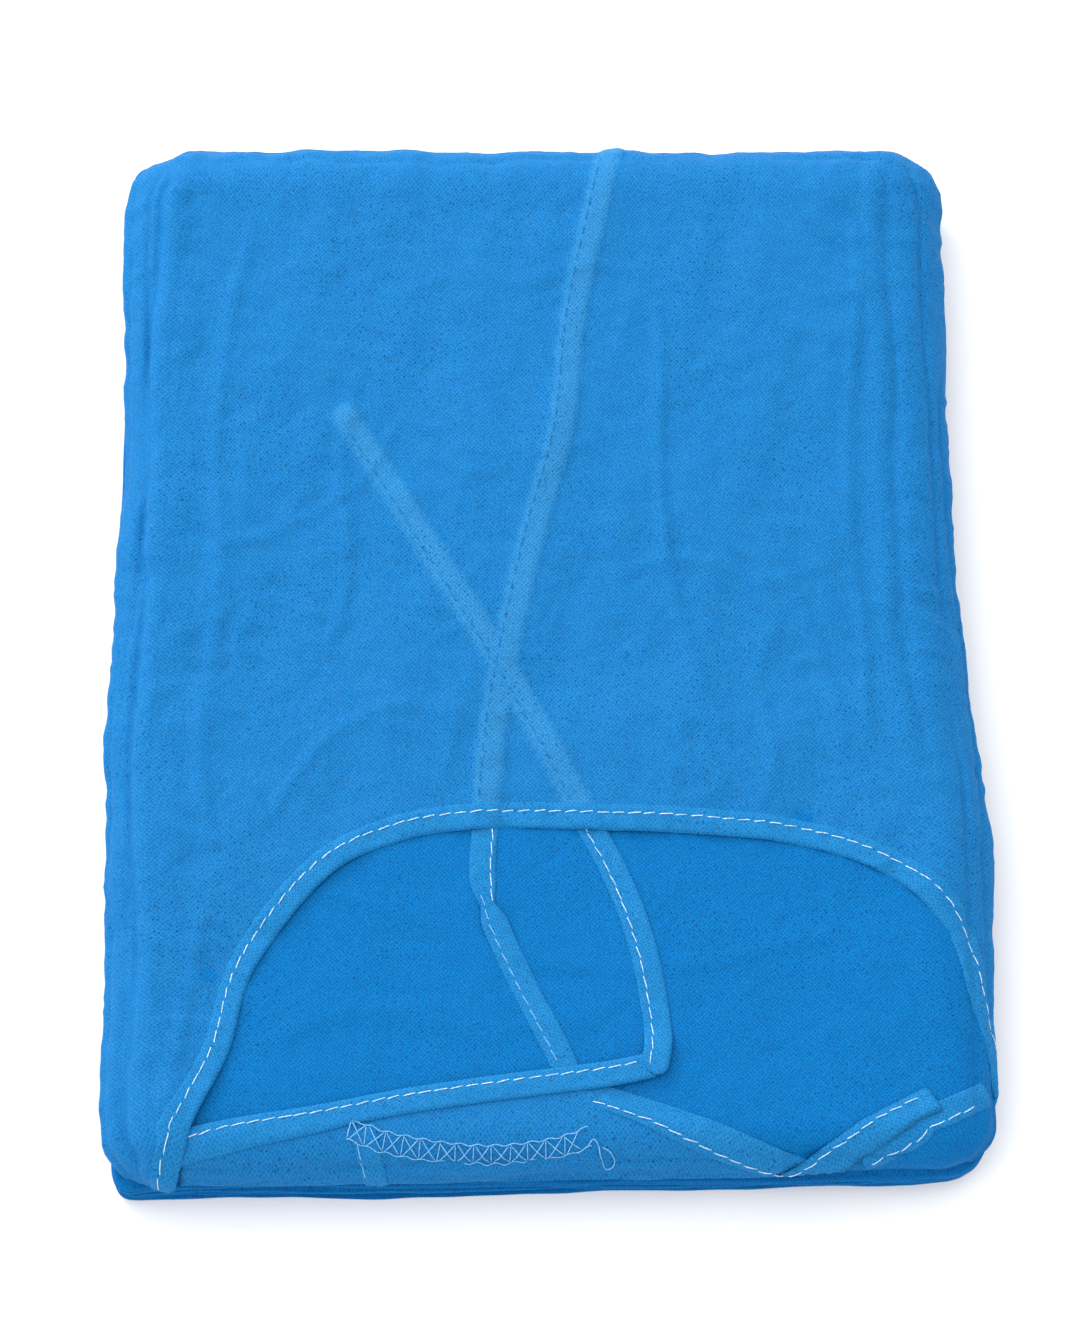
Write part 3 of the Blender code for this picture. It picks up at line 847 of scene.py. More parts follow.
        # Columns stand closer together where the left fold's groove runs
        left = np.concatenate((
            np.arange(-STACK.side_end, -133 * MM, self.step),
            np.arange(-133 * MM, -122 * MM, self.step * 0.45),
            np.arange(-122 * MM, seam[0, 0] - self.step / 2, self.step),
        ))
        starts = np.concatenate((np.full(len(left), STACK.near_end), seam[:, 1]))
        p = np.concatenate((left, seam[:, 0]))
        rows = int(round((STACK.far_end + 60 * MM) / self.step))
        share = np.linspace(0, 1, rows)[:, None]
        q = starts[None, :] + share * (STACK.far_end - starts[None, :])
        return np.broadcast_to(p[None, :], q.shape), q

    def build(self) -> bpy.types.Object:
        """Builds the panel.

        Returns:
            The panel's object.
        """
        p, q = self.grid()
        points = STACK.lay(p, q, self.lift(p, q))
        away_left, _ = self.hidden_left.nearest(p, q)
        away_right, _ = self.hidden_right.nearest(p, q)
        away = np.minimum(np.abs(away_left), np.abs(away_right))
        over = 0.4 * smooth((4.6 * MM - away) / (1.0 * MM))
        return make_sheet("front_body_cloth", (p, q), points, self.finishes.cloth, self.cloth, "front_body",
                          marks={"over_tape": over})

    def pressed_stitches(self) -> list[bpy.types.Object]:
        """The hidden ties' stitches, pressed through the panel as faint rows of bumps.

        Returns:
            One row for each hidden tie.
        """
        rows = []
        for name, line, aside in (
            ("left", self.hidden_left, 1.7 * MM),
            ("right", self.hidden_right, 2.4 * MM),
        ):
            found, left, _ = line.sampled(1.1 * MM)
            row = (found + left * aside)[8:-3]
            tops = self.lift(row[:, 0], row[:, 1]) + self.cloth
            rows.append(stitches(f"{name}_tie_pressed_stitches", row, tops - 0.24 * MM, self.finishes.tape,
                                 STACK.lay, seed=91, radius=0.3 * MM))
            stand_in(rows[-1])
        return rows


def tube(points: Array, radius: float) -> tuple[Array, Array]:
    """A round thread along a path.

    Each ring is a circle in the plane across the path, whose second axis is across the path and
    level. The two end rings are small, so the thread ends in a point.

    Args:
        points: the path's points.
        radius: the thread's radius in metres.

    Returns:
        The rings' points, and the quads between them.
    """
    ahead = np.gradient(points, axis=0)
    ahead /= np.maximum(np.linalg.norm(ahead, axis=1, keepdims=True), 1e-12)
    level = np.cross(ahead, np.array([0.0, 0.0, 1.0]))
    level /= np.maximum(np.linalg.norm(level, axis=1, keepdims=True), 1e-9)
    over = np.cross(level, ahead)
    angle = np.linspace(0, math.tau, THREAD_SIDES, endpoint=False)
    ring = (np.cos(angle)[None, :, None] * level[:, None, :]
            + np.sin(angle)[None, :, None] * over[:, None, :])
    taper = np.ones(len(points))
    taper[[0, -1]] = 0.25
    rings = points[:, None, :] + radius * taper[:, None, None] * ring
    return rings.reshape(-1, 3), grid_faces(len(points), THREAD_SIDES, True)


def make_threads(name: str, paths: list[Array], radius: float, finish: bpy.types.Material,
                 chart: Array | None = None) -> bpy.types.Object:
    """Makes one object of several lengths of thread.

    Args:
        name: the piece's name.
        paths: each length's points.
        radius: the thread's radius in metres.
        finish: the material.
        chart: each point's cloth coordinates for the UV map, in metres.

    Returns:
        The object.
    """
    rings, quads, total = [], [], 0
    for path in paths:
        ring, quad = tube(path, radius)
        rings.append(ring)
        quads.append(quad + total)
        total += len(ring)
    return make_object(name, np.concatenate(rings), np.concatenate(quads).tolist(), finish, chart)


def stitches(name: str, centre: Array, lift: Array, finish: bpy.types.Material, lay: Lay, seed: int,
             face: float = 1.0, radius: float = 0.19 * MM) -> bpy.types.Object:
    """A row of lockstitches: short thread arches, each sunk into the cloth at both ends.

    Along one stitch the height follows half a sine, so the thread dips at the needle holes, and
    each stitch leans a little to one side of the row.

    Args:
        name: the row's name.
        centre: the row's cloth coordinates, evenly spaced.
        lift: the cloth's top at each of them.
        finish: the thread's material.
        lay: what lays cloth coordinates on the stack.
        seed: the number of the row's unevenness.
        face: 1 for stitches on the upper face, -1 for those underneath.
        radius: the thread's radius in metres.

    Returns:
        The row as one object.
    """
    pitch = 5 * MM
    gap = 0.35 * MM
    along = np.concatenate(([0], np.cumsum(np.hypot(*np.diff(centre, axis=0).T))))
    chosen = np.random.default_rng(seed)
    share = np.linspace(0, 1, 7)
    rise = face * (0.3 * np.sin(np.pi * share) ** 0.7 - 0.08) * MM
    paths, charts = [], []
    for k in range(max(int(along[-1] / pitch), 1)):
        start = k * pitch + chosen.uniform(-0.2, 0.2) * MM
        at = start + share * (pitch - gap) * chosen.uniform(0.88, 1.05)
        p = np.interp(at, along, centre[:, 0])
        q = np.interp(at, along, centre[:, 1])
        lean = chosen.uniform(0.06, 0.34) * MM * (share - 0.5) * 2
        ahead = np.array([p[-1] - p[0], q[-1] - q[0]])
        ahead /= max(float(np.hypot(*ahead)), 1e-9)
        paths.append(lay(p - ahead[1] * lean, q + ahead[0] * lean, np.interp(at, along, lift) + rise))
        charts.append(np.repeat(np.stack((p, q), axis=1), THREAD_SIDES, axis=0))
    return make_threads(name, paths, radius, finish, np.concatenate(charts))


@dataclass
class Tape:
    """A narrow folded tape sewn with one row of lockstitches.

    Its section is a low rounded bar: the top falls away at both edges, dips along the stitches,
    and the flat bottom lies on the cloth.
    """

    name: str
    line: Line
    width: float = 9 * MM
    thickness: float = 1.0 * MM
    step: float = 1.1 * MM
    stitch_side: Side = Side.LEFT
    stitch_at: float = 0.3
    start_lean: float = 0.0
    round_start: float = 0.0
    round_end: float = 0.0
    both_faces: bool = False
    reverse: bool = False
    seed: int = 1

    def section(self, strips: int = 16) -> tuple[Array, Array]:
        """The section's points: across from -1 to 1 over the top, then back along the bottom.

        The top's height is one minus the tenth power of the distance from the middle.

        Args:
            strips: how many strips the top has.

        Returns:
            The place across, and the height from 0 to 1.
        """
        across = np.sin(np.linspace(-np.pi / 2, np.pi / 2, strips + 1))
        top = (1 - np.abs(across) ** 10) * 0.88 + 0.12
        # The folded plies end a third of the way in, as a low step on the stitched side
        top = top - 0.16 * smooth((self.stitch_side.value * across - 0.52) / 0.08)
        groove = self.stitch_side.value * (1 - 2 * self.stitch_at)
        top = top - 0.24 * bell((across - groove) / 0.09)
        back = np.linspace(1, -1, 6)[1:-1]
        return np.concatenate((across, back)), np.concatenate((np.maximum(top, 0.05), np.zeros(4)))

    def build(self, finishes: Finishes, base: Lift, width_at: WidthAt | None = None,
              lay: Lay = STACK.lay) -> list[bpy.types.Object]:
        """Builds the tape and its stitches.

        Args:
            finishes: the materials.
            base: a function of p and q that gives the lift of the cloth under the tape.
            width_at: a function of the share along that scales the width, or None.
            lay: what lays cloth coordinates on the stack.

        Returns:
            The tape and its row of stitches.
        """
        found, left, along = self.line.sampled(self.step)
        share = along / along[-1]
        scale = np.ones(len(found)) if width_at is None else width_at(share)
        for away, radius in ((along, self.round_start), (along[-1] - along, self.round_end)):
            if radius:
                short = 1 - np.clip(away / radius, 0.03, 1)
                scale = scale * np.sqrt(1 - short ** 2)
        across, height = self.section()
        half = self.width / 2 * scale[:, None] * across[None, :]
        fade = 1.6 * self.width
        lean = self.start_lean * smooth(1 - along / fade)
        slide = half * lean[:, None]
        p = found[:, :1] + left[:, :1] * half + left[:, 1:] * slide
        q = found[:, 1:] + left[:, 1:] * half - left[:, :1] * slide
        pucker = 0.1 * MM * ripple(p * 1.5, q * 1.5, 9 * MM, self.seed) * height[None, :]
        lift = base(p, q) + self.thickness * height[None, :] + pucker
        points = lay(p, q, lift)
        chart = np.stack((half, np.broadcast_to(along[:, None], half.shape)), axis=-1)
        faces = grid_faces(len(found), len(across), True)[:, ::-1].tolist()
        ring = np.arange(len(across))
        faces += [ring.tolist(), (ring[::-1] + (len(found) - 1) * len(across)).tolist()]
        piece = make_object(self.name, points, faces, finishes.tape, chart)
        at = self.stitch_side.value * (1 - 2 * self.stitch_at) * self.width / 2
        row = found + left * at * scale[:, None]
        row = row + np.stack((left[:, 1], -left[:, 0]), axis=1) * (at * lean)[:, None]
        tops = base(row[:, 0], row[:, 1]) + self.thickness * 0.76 + 0.06 * MM
        keep = slice(2, -2)
        # From behind, the bobbin thread lies deep in the cloth and takes its colour
        thread, sunk = (finishes.looper, 0.12 * MM) if self.reverse else (finishes.thread, 0.0)
        sewn = [stitches(self.name + "_stitches", row[keep], tops[keep] - sunk, thread, lay, self.seed)]
        if self.both_faces:
            sewn.append(stitches(self.name + "_under_stitches", row[keep], base(row[keep, 0], row[keep, 1]),
                                 finishes.thread, lay, self.seed + 1, face=-1.0))
        for thread_row in sewn:
            stand_in(thread_row)
        return [piece, *sewn]


DRAG_FOLD = Line(((-74, -82), (-48, -88), (-10, -104), (40, -108), (88, -98)))
PRESSED_FOLD = Line(((-11, -99), (4, -104.5), (27, -121)))
LOWER_DRAG_FOLD = Line(((-92, -132), (-60, -121), (-20, -128), (14, -124)))


def flank_folds(p: Array, q: Array) -> Array:
    """How far the cloth sinks between the folds that press against it from inside the rolled sides.

    There are two grooves round the sides, at two heights on the roll. Each wanders up and down and
    comes and goes along the side.

    Args:
        p: across the cloth.
        q: along the cloth.

    Returns:
        The grooves' depth.
    """
    reach = STACK.roll_share(p, q)
    depth = np.zeros(np.shape(reach))
    for height, seed in ((0.7, 61), (1.02, 67)):
        wander = 0.06 * ripple(p, q, 120 * MM, seed) + 0.02 * ripple(p, q, 35 * MM, seed + 1)
        present = smooth(0.75 + 0.7 * ripple(p, q, 150 * MM, seed + 2))
        depth = depth + 1.1 * MM * present * bell((reach - height - wander) / 0.055)
    return depth


def tucked(p: Array, q: Array, lift: Array, end: float) -> Array:
    """Curls a sheet's free end in behind the plies below it.

    The lift blends into another, near or below nothing, over the last part of the roll.

    Args:
        p: across the cloth.
        q: along the cloth.
        lift: the sheet's height over the stack.
        end: the lift of its free end.

    Returns:
        The sheet's height with its end tucked in.
    """
    return lift + (end - lift) * smooth((STACK.roll_share(p, q) - 1.14) / 0.2)


@dataclass
class BackPanels:
    """The right back, seen inside the neck hole, and the left back that wraps over the near side."""

    finishes: Finishes
    step: float = 1.8 * MM
    cloth: float = 0.4 * MM

    def right_lift(self, p: Array, q: Array) -> Array:
        """The right back's height: a base, soft waves and a few drag folds towards the ties.

        Args:
            p: across the cloth.
            q: along the cloth.

        Returns:
            The height in metres.
        """
        waves = 0.3 * MM * ripple(p, q, 60 * MM, 23) + 0.1 * MM * ripple(p, q, 22 * MM, 29)
        fine = 0.12 * MM * crumple(p, q * 1.3, 24 * MM, 31)
        side = 1.8 * MM * smooth((np.abs(p) - 114 * MM) / (16 * MM))
        drag = 0.45 * MM * bell(DRAG_FOLD.nearest(p, q)[0] / (2.6 * MM))
        drag += 0.35 * MM * bell(LOWER_DRAG_FOLD.nearest(p, q)[0] / (3.2 * MM))
        drag += 0.3 * MM * bell(PRESSED_FOLD.nearest(p, q)[0] / (1.3 * MM))
        return tucked(p, q, 0.95 * MM + side + waves + fine + drag - flank_folds(p, q), -1.9 * MM)

    def left_lift(self, p: Array, q: Array) -> Array:
        """The left back's height: over the right back, with shallow waves and a hem's groove.

        Args:
            p: across the cloth.
            q: along the cloth.

        Returns:
            The height in metres.
        """
        waves = 0.25 * MM * ripple(p, q * 0.6, 45 * MM, 37) + 0.1 * MM * crumple(p, q, 16 * MM, 41)
        hem = 0.8 * MM * bell((q + 170.5 * MM + 1.5 * MM * ripple(p, 0 * q, 70 * MM, 53)) / (1.1 * MM))
        lower = 0.7 * MM * smooth((-92 * MM - p) / (16 * MM))
        near = 0.8 * MM * smooth((-q - 158 * MM) / (10 * MM))
        return tucked(p, q, 2.1 * MM + near + waves - lower - hem - flank_folds(p, q), -1.2 * MM)

    def build(self) -> list[bpy.types.Object]:
        """Builds both panels.

        Returns:
            The right back and the left back.
        """
        near = STACK.near_end
        p, q = np.broadcast_arrays(np.arange(-125 * MM, STACK.side_end, self.step)[None, :],
                                   np.arange(near, -44 * MM, self.step)[:, None])
        points = STACK.lay(p, q, self.right_lift(p, q))
        # The right back is drawn in the darker cloth: painted shade of the deep neck hole, with the deeper
        # tone of doubled plies.
        right = make_sheet("right_back_cloth", (p, q), points, self.finishes.inside, self.cloth, "right_back")
        edge, away, _ = LEFT_BACK_EDGE.sampled(self.step)
        top = (edge - away * 2 * MM)[edge[:, 0] < 12 * MM]
        tie, beside, _ = WAIST_TIE_RUN.sampled(self.step)
        under = tie - beside * 2.5 * MM
        under = under[(under[:, 0] > top[-1, 0] + 1 * MM) & (under[:, 1] > near + 1.5 * MM)]
        top = np.concatenate((top, under))
        q = near + np.linspace(0, 1, 22)[:, None] * (top[None, :, 1] - near)
        p = np.broadcast_to(top[None, :, 0], q.shape)
        points = STACK.lay(p, q, self.left_lift(p, q))
        left = make_sheet("left_back_cloth", (p, q), points, self.finishes.cloth, self.cloth, "left_back")
        return [right, left]


WAIST_TIE = Line(((13.5, -148.2), (21, -151), (78.3, -171.5), (122.5, -187.3)))
WAIST_TIE_RUN = Line(((21, -151), (40, -157.8), (60, -165), (78.3, -171.5)))
SHORT_TIE = Line(((98.5, -168.6), (113.1, -162.3), (124.5, -155.5), (136.5, -149)))
TUCKED_TIE = Line(((-57.4, -158.4), (-55.9, -163.5), (-54.2, -169.6), (-52.8, -174.5)))
OVERLOCKED_SEAM = Line((
    (-62, -158.8), (-57.5, -160), (-52.9, -161.2), (-40.6, -163.2), (-28.6, -164.5), (-16.7, -165),
    (-4.7, -164.5), (7.2, -163), (14.5, -161),
))
LOOSE_TAIL = Line((
    (13.2, -163.4), (15.2, -161.8), (16.6, -163.2), (17.3, -165.8), (19.4, -169.2), (21.6, -167.4),
    (20.2, -164.6), (17.8, -163.6),
))
# The waist tie turns over on a line nearly square to the stack's length
FOLD_PLACE = (78.3 * MM, -171.5 * MM)
FOLD_TILT = math.radians(3.8)
FOLD_OUT = (math.sin(FOLD_TILT), -math.cos(FOLD_TILT))


def past_fold(p: Array, q: Array) -> Array:
    """How far a point of the waist tie, laid out straight, is past its fold line."""
    return (p - FOLD_PLACE[0]) * FOLD_OUT[0] + (q - FOLD_PLACE[1]) * FOLD_OUT[1]


@dataclass
class NeckBinding:
    """The folded tape that binds the front neck edge, with one row of stitches."""

    finishes: Finishes
    front: FrontBody
    width: float = 9 * MM

    def build(self) -> list[bpy.types.Object]:
        """Builds the tape on the panel's edge and its stitches.

        Returns:
            The binding and its stitches.
        """
        found, left, _ = NECK_EDGE.sampled(3 * MM)
        middle = (found + left * self.width * 0.48) / MM
        tape = Tape("front_neck_binding_tape", Line(tuple(map(tuple, middle.tolist()))), self.width,
                    1.2 * MM, stitch_side=Side.LEFT, stitch_at=0.37, seed=7)
        made = tape.build(self.finishes, lambda p, q: self.front.lift(p, q) - 0.25 * MM)
        stand_in(made[0], "front_neck_binding")
        return made


@dataclass
class Ties:
    """The back neck binding, the two neck ties that run on from the backs, and the waist ties."""

    finishes: Finishes
    backs: BackPanels

    def on_right(self, p: Array, q: Array) -> Array:
        """The top of the right back."""
        return self.backs.right_lift(p, q) + 0.45 * MM

    def on_left(self, p: Array, q: Array) -> Array:
        """The top of the left back."""
        return self.backs.left_lift(p, q) + 0.45 * MM

    def left_tie_base(self, p: Array, q: Array) -> Array:
        """What the left neck tie lies on: the right back, and the binding's end at its root."""
        return self.on_right(p, q) + 2.2 * MM * smooth((-127 * MM - q) / (9 * MM))

    def on_layers(self, p: Array, q: Array) -> Array:
        """What the waist tie lies on: the left back's edge below, the right back above.

        It is level on the left back, lower at both ends, and hugs the right back on its upper side.

        Args:
            p: across the cloth.
            q: along the cloth.

        Returns:
            The height in metres.
        """
        level = 2.85 * MM - 0.9 * MM * (smooth((21 * MM - p) / (5 * MM)) + smooth((p - 68 * MM) / (10 * MM)))
        away, _ = WAIST_TIE.nearest(p, q)
        hug = smooth((away + 1.5 * MM) / (4 * MM)) * (1 - smooth(past_fold(p, q) / (5 * MM) + 1))
        return level + (self.on_right(p, q) - level) * hug

    def fold_back(self, p: Array, q: Array, lift: Array) -> Array:
        """Lays the waist tie, which turns over at its fold and lies back on the gown.

        Past the fold line the distance from it wraps round half a circle of 0.6 mm radius, and then
        runs back mirrored in the fold line, upside down. Off its own first part it settles on the
        right back, and over the edge of the short tie.

        Args:
            p: across the cloth.
            q: along the cloth.
            lift: height above the stack.

        Returns:
            Points on the tie.
        """
        radius = 0.6 * MM
        middle = 2.35 * MM
        past = past_fold(p, q)
        around = math.pi * radius
        turn = np.clip(past / around, 0, 1) * np.pi
        shift = np.where(past > 0, radius * np.sin(turn) - np.maximum(past - around, 0) - past, 0)
        across = p + FOLD_OUT[0] * shift
        along = q + FOLD_OUT[1] * shift
        wrapped = middle + radius * (1 - np.cos(turn)) + (lift - middle) * np.cos(turn)
        away, _ = SHORT_TIE.nearest(across, along)
        over_short = 0.7 * MM * (1 - smooth((np.abs(away) - 4 * MM) / (3 * MM)))
        turned = self.on_right(across, along) + over_short + 0.8 * MM - (lift - self.on_layers(p, q))
        clear, _ = WAIST_TIE.nearest(across, along)
        settled = smooth((np.abs(clear) - 4.3 * MM) / (5 * MM)) * smooth((past - around) / (2 * MM))
        return STACK.lay(across, along, wrapped + (turned - wrapped) * settled)

    def narrow_end(self, share: Array) -> Array:
        """The upper part of the right neck tie, narrowed where it twists under the lower part."""
        return 1 - 0.7 * smooth((share - 0.62) / 0.3)

    def narrow_start(self, share: Array) -> Array:
        """The lower part of the right neck tie, narrowed where it comes out of the twist."""
        return 1 - 0.7 * smooth((0.2 - share) / 0.17)

    def over_twist(self, p: Array, q: Array) -> Array:
        """What the lower part lies on: the right back, and the upper part at the twist."""
        return self.on_right(p, q) + 0.75 * MM * smooth((q + 103 * MM) / (9 * MM))

    def build(self) -> list[bpy.types.Object]:
        """Builds every tie and the back neck binding, with their stitches.

        Returns:
            The tapes and their stitches.
        """
        right = Tape("right_neck_tie_tape", RIGHT_NECK_TIE_UPPER, 8.6 * MM, 0.8 * MM,
                     stitch_side=Side.LEFT, stitch_at=0.2, round_end=3 * MM, seed=13)
        lower = Tape("right_neck_tie_lower_tape", RIGHT_NECK_TIE_LOWER, 8.6 * MM, 0.8 * MM,
                     stitch_side=Side.RIGHT, stitch_at=0.3, round_start=3 * MM, reverse=True, seed=17)
        band = Tape("left_back_neck_binding_tape", LEFT_BACK_EDGE, 8.4 * MM, 1.05 * MM,
                    stitch_side=Side.LEFT, stitch_at=0.29, round_end=4 * MM, seed=19)
        left = Tape("left_neck_tie_tape", LEFT_NECK_TIE, 8.8 * MM, 0.85 * MM,
                    stitch_side=Side.LEFT, stitch_at=0.3, start_lean=0.25, round_start=4.4 * MM, seed=23)
        waist = Tape("back_edge_tie_tape", WAIST_TIE, 8.6 * MM, 0.8 * MM,
                     stitch_side=Side.RIGHT, stitch_at=0.22, both_faces=True, seed=29)
        short = Tape("short_tie_tape", SHORT_TIE, 8.2 * MM, 0.75 * MM,
                     stitch_side=Side.RIGHT, stitch_at=0.25, seed=31)
        tucked = Tape("tucked_tie_tape", TUCKED_TIE, 7.6 * MM, 0.6 * MM,
                      stitch_side=Side.RIGHT, stitch_at=0.14, reverse=True, seed=37)
        made = []
        for tape, node, base, lay, width in (
            (right, "right_neck_tie", self.on_right, STACK.lay, self.narrow_end),
            (lower, "right_neck_tie", self.over_twist, STACK.lay, self.narrow_start),
            (band, "left_back_neck_binding", self.on_left, STACK.lay, None),
            (left, "left_neck_tie", self.left_tie_base, STACK.lay, None),
            (waist, "back_edge_tie", self.on_layers, self.fold_back, None),
            (short, "short_tie", self.on_right, STACK.lay, None),
            (tucked, "tucked_tie", self.on_left, STACK.lay, None),
        ):
            pieces = tape.build(self.finishes, base, width, lay)
            stand_in(pieces[0], node)
            made += pieces
        return made


@dataclass
class OverlockedSeam:
    """A three-thread overlocked seam: two chain lines joined by a zigzag of looper thread."""

    finishes: Finishes
    backs: BackPanels
    width: float = 4.4 * MM
    pitch: float = 5.7 * MM
    thread: float = 0.19 * MM

    def build(self) -> bpy.types.Object:
        """Builds the seam's threads and the loop at its tail.

        Returns:
            The seam as one object.
        """
        found, left, along = OVERLOCKED_SEAM.sampled(0.4 * MM)

        def at(where: Array, aside: Array, rise: Array) -> Array:
            """Points beside the seam line, at a height over the left back.

            Args:
                where: distance along the seam.
                aside: distance to the left of it.
                rise: height over the cloth.

            Returns:
                The points.
            """
            p = np.interp(where, along, found[:, 0]) + np.interp(where, along, left[:, 0]) * aside
            q = np.interp(where, along, found[:, 1]) + np.interp(where, along, left[:, 1]) * aside
            over_tie = 0.62 * MM * smooth((-50.5 * MM - p) / (2 * MM))
            return STACK.lay(p, q, self.backs.left_lift(p, q) + 0.5 * MM + over_tie + rise)

        paths = []
        run = np.arange(0, along[-1], 0.5 * MM)
        wave = 0.22 * MM * np.sin(run * math.tau / self.pitch)
        hump = 0.12 * MM * np.abs(np.cos(run * np.pi / self.pitch))
        for aside in (-0.5, 0.5):
            paths.append(at(run, aside * self.width + wave, hump))
        share = np.linspace(0, 1, 7)
        arch = MM * np.sin(np.pi * share)
        chosen = np.random.default_rng(43)
        across = (share - 0.5) * self.width
        for start in np.arange(0, along[-1] - self.pitch, self.pitch):
            slant = chosen.uniform(-0.5, 0.9) * MM
            span = self.pitch * chosen.uniform(0.86, 0.98)
            first = start + 0.4 * MM
            paths += [
                at(start + share * slant, across, 0.2 * arch),
                at(first + share * span, across, 0.34 * arch),
                at(first + (1 - share) * span, across, 0.48 * arch),
            ]
        loop, _, _ = LOOSE_TAIL.sampled(0.5 * MM)
        p, q = loop[:, 0], loop[:, 1]
        paths.append(STACK.lay(p, q, self.backs.left_lift(p, q) + 0.75 * MM))
        piece = make_threads("overlocked_seam_thread", paths, self.thread, self.finishes.looper)
        stand_in(piece, "overlocked_seam")
        return piece


@dataclass
class FoldedLayers:
    """The hidden folds of the gown: plies whose rounded edges show all round the stack.

    The form is one shell. Its section climbs from the flat underside over the nose of each ply,
    in and out by a few millimetres, and turns in under the sheets on top.
    """

    finishes: Finishes
    step: float = 1.7 * MM
    ply_tops: tuple[float, ...] = (1.3, 2.9, 4.0, 5.9, 7.3, 8.3, 10.4, 12.2)
    groove_depths: tuple[float, ...] = (0.8, 1.9, 0.7, 1.8, 0.6, 2.0, 0.8, 1.6)
    turned_in: tuple[tuple[float, float], ...] = ((1.3, -3.0), (1.0, -2.2), (0.6, -2.0), (0.2, -1.6))
    poles: tuple[float, float] = (1.2 * MM, 26.4 * MM)
    wander: tuple[tuple[int, float], ...] = ((3, 0.22), (5, 0.16), (9, 0.14), (17, 0.08))
    unevenness: tuple[tuple[int, float], ...] = (
        (2, 0.6), (3, 0.5), (7, 0.4), (13, 0.3), (23, 0.2), (41, 0.12), (67, 0.07),
    )

    def track(self) -> tuple[Array, Array]:
        """The way round the flat top: its four sides, with a quarter turn at each corner.

        Round a corner the two shares of the overhang are the cosine and sine of the angle, raised
        to a quarter, so that their eighth powers add up to one.

        Returns:
            Where each station leaves the flat top, and its shares of the overhang, with signs.
        """
        x, far, near = STACK.inner_x, STACK.inner_far, STACK.inner_near
        corners = ((x, far), (-x, far), (-x, -near), (x, -near))
        outward = ((0.0, 1.0), (-1.0, 0.0), (0.0, -1.0), (1.0, 0.0))
        angle = np.linspace(0, np.pi / 2, 25)
        bend = np.stack((np.cos(angle), np.sin(angle)), axis=1) ** 0.25
        starts, shares = [], []
        for number, corner in enumerate(corners):
            ahead = corners[(number + 1) % 4]
            side = bend[::-1] if number % 2 else bend
            run = np.linspace(corner, ahead, int(math.dist(corner, ahead) / self.step))[1:-1]
            starts += [np.tile(corner, (len(side), 1)), run]
            shares += [side * np.sign(corner), np.tile(outward[number], (len(run), 1))]
        return np.concatenate(starts), np.concatenate(shares)

    def profile(self) -> list[tuple[float, float, int]]:
        """The section, from the underside up: each ply's edge is a half circle in height and depth.

        Returns:
            For each ring its height in millimetres, its share of a groove's depth, and its ply.
        """
        rings = [(1.2, 4.0, 0), (1.1, 2.6, 0), (0.3, 1.6, 0), (0.0, 0.75, 0)]
        bottom = 0.0
        for number, top in enumerate(self.ply_tops):
            for share in (0.02, 0.1, 0.25, 0.5, 0.75, 0.9, 0.98):
                nose = 1 - math.sqrt(max(1 - (2 * share - 1) ** 2, 0))
                rings.append((bottom + share * (top - bottom), nose, number))
            rings.append((top, 1.25, number))
            bottom = top
        return rings

    def build(self) -> bpy.types.Object:
        """Builds the shell.

        Returns:
            The folded layers.
        """
        starts, shares = self.track()
        step = np.hypot(*np.diff(starts, axis=0).T) + 30 * MM * np.hypot(*np.diff(shares, axis=0).T)
        around = np.concatenate(([0], np.cumsum(step)))
        turn = around / around[-1] * math.tau
        roll_end = np.where(shares[:, 1] < 0, STACK.near, STACK.far)
        roll = np.stack((np.full(len(shares), STACK.side), roll_end), axis=1)
        rings = []
        for height, nose, number in self.profile():
            z = height * MM + self.wavy(turn, height)
            reach = STACK.quarter + (STACK.top - STACK.drop - z) / STACK.side
            place = starts + roll * reach[:, None] * shares
            inset = self.inset(shares, turn, number)
            points = STACK.lay(place[:, 0], place[:, 1], -inset - nose * self.groove_depths[number] * MM)
            points[:, 2] = np.maximum(z, 0)
            rings.append(points)
        for reach, lift in self.turned_in:
            place = starts + roll * reach * shares
            rings.append(STACK.lay(place[:, 0], place[:, 1], lift * MM))
        grid = np.stack(rings)
        count = grid.shape[0] * grid.shape[1]
        poles = np.array([(*STACK.centre, height) for height in self.poles])
        ring = np.arange(grid.shape[1])
        after = (ring + 1) % len(ring)
        last = count - grid.shape[1]
        faces = grid_faces(len(grid), grid.shape[1], True).tolist()
        faces += np.stack((after, ring, np.full(len(ring), count)), axis=1).tolist()
        faces += np.stack((ring + last, after + last, np.full(len(ring), count + 1)), axis=1).tolist()
        up = np.concatenate(([0], np.cumsum(np.linalg.norm(np.diff(grid[:, 0], axis=0), axis=1))))
        chart = np.stack(np.broadcast_arrays(around[None, :], up[:, None]), axis=-1).reshape(-1, 2)
        # The plies are drawn in the darker cloth: painted shade on the rolled sides, with the deeper tone of
        # doubled plies.
        piece = make_object("folded_layers_cloth", np.concatenate((grid.reshape(-1, 3), poles)), faces,
                            self.finishes.inside, np.concatenate((chart, np.zeros((2, 2)))))
        stand_in(piece, "folded_layers")
        return piece

    def sines(self, turn: Array, rows: tuple[tuple[int, float], ...], seed: int) -> Array:
        """A sum of sines round the stack, each with a phase of its own.

        Args:
            turn: the angle round the stack.
            rows: for each sine, how many waves go round and its height.
            seed: the number of the set of phases.

        Returns:
            The sum at each station.
        """
        chosen = np.random.default_rng(seed)
        return sum(np.sin(turn * waves + chosen.uniform(0, math.tau)) * size for waves, size in rows)

    def wavy(self, turn: Array, height: float) -> Array:
        """How a ply wanders up and down round the stack: sines that are still at the bottom and top.

        Args:
            turn: the angle round the stack.
            height: the ring's height in millimetres.

        Returns:
            The rise in metres.
        """
        share = height / self.ply_tops[-1]
        return self.sines(turn, self.wander, 80 + round(height * 1.3)) * 4 * share * (1 - share) * MM

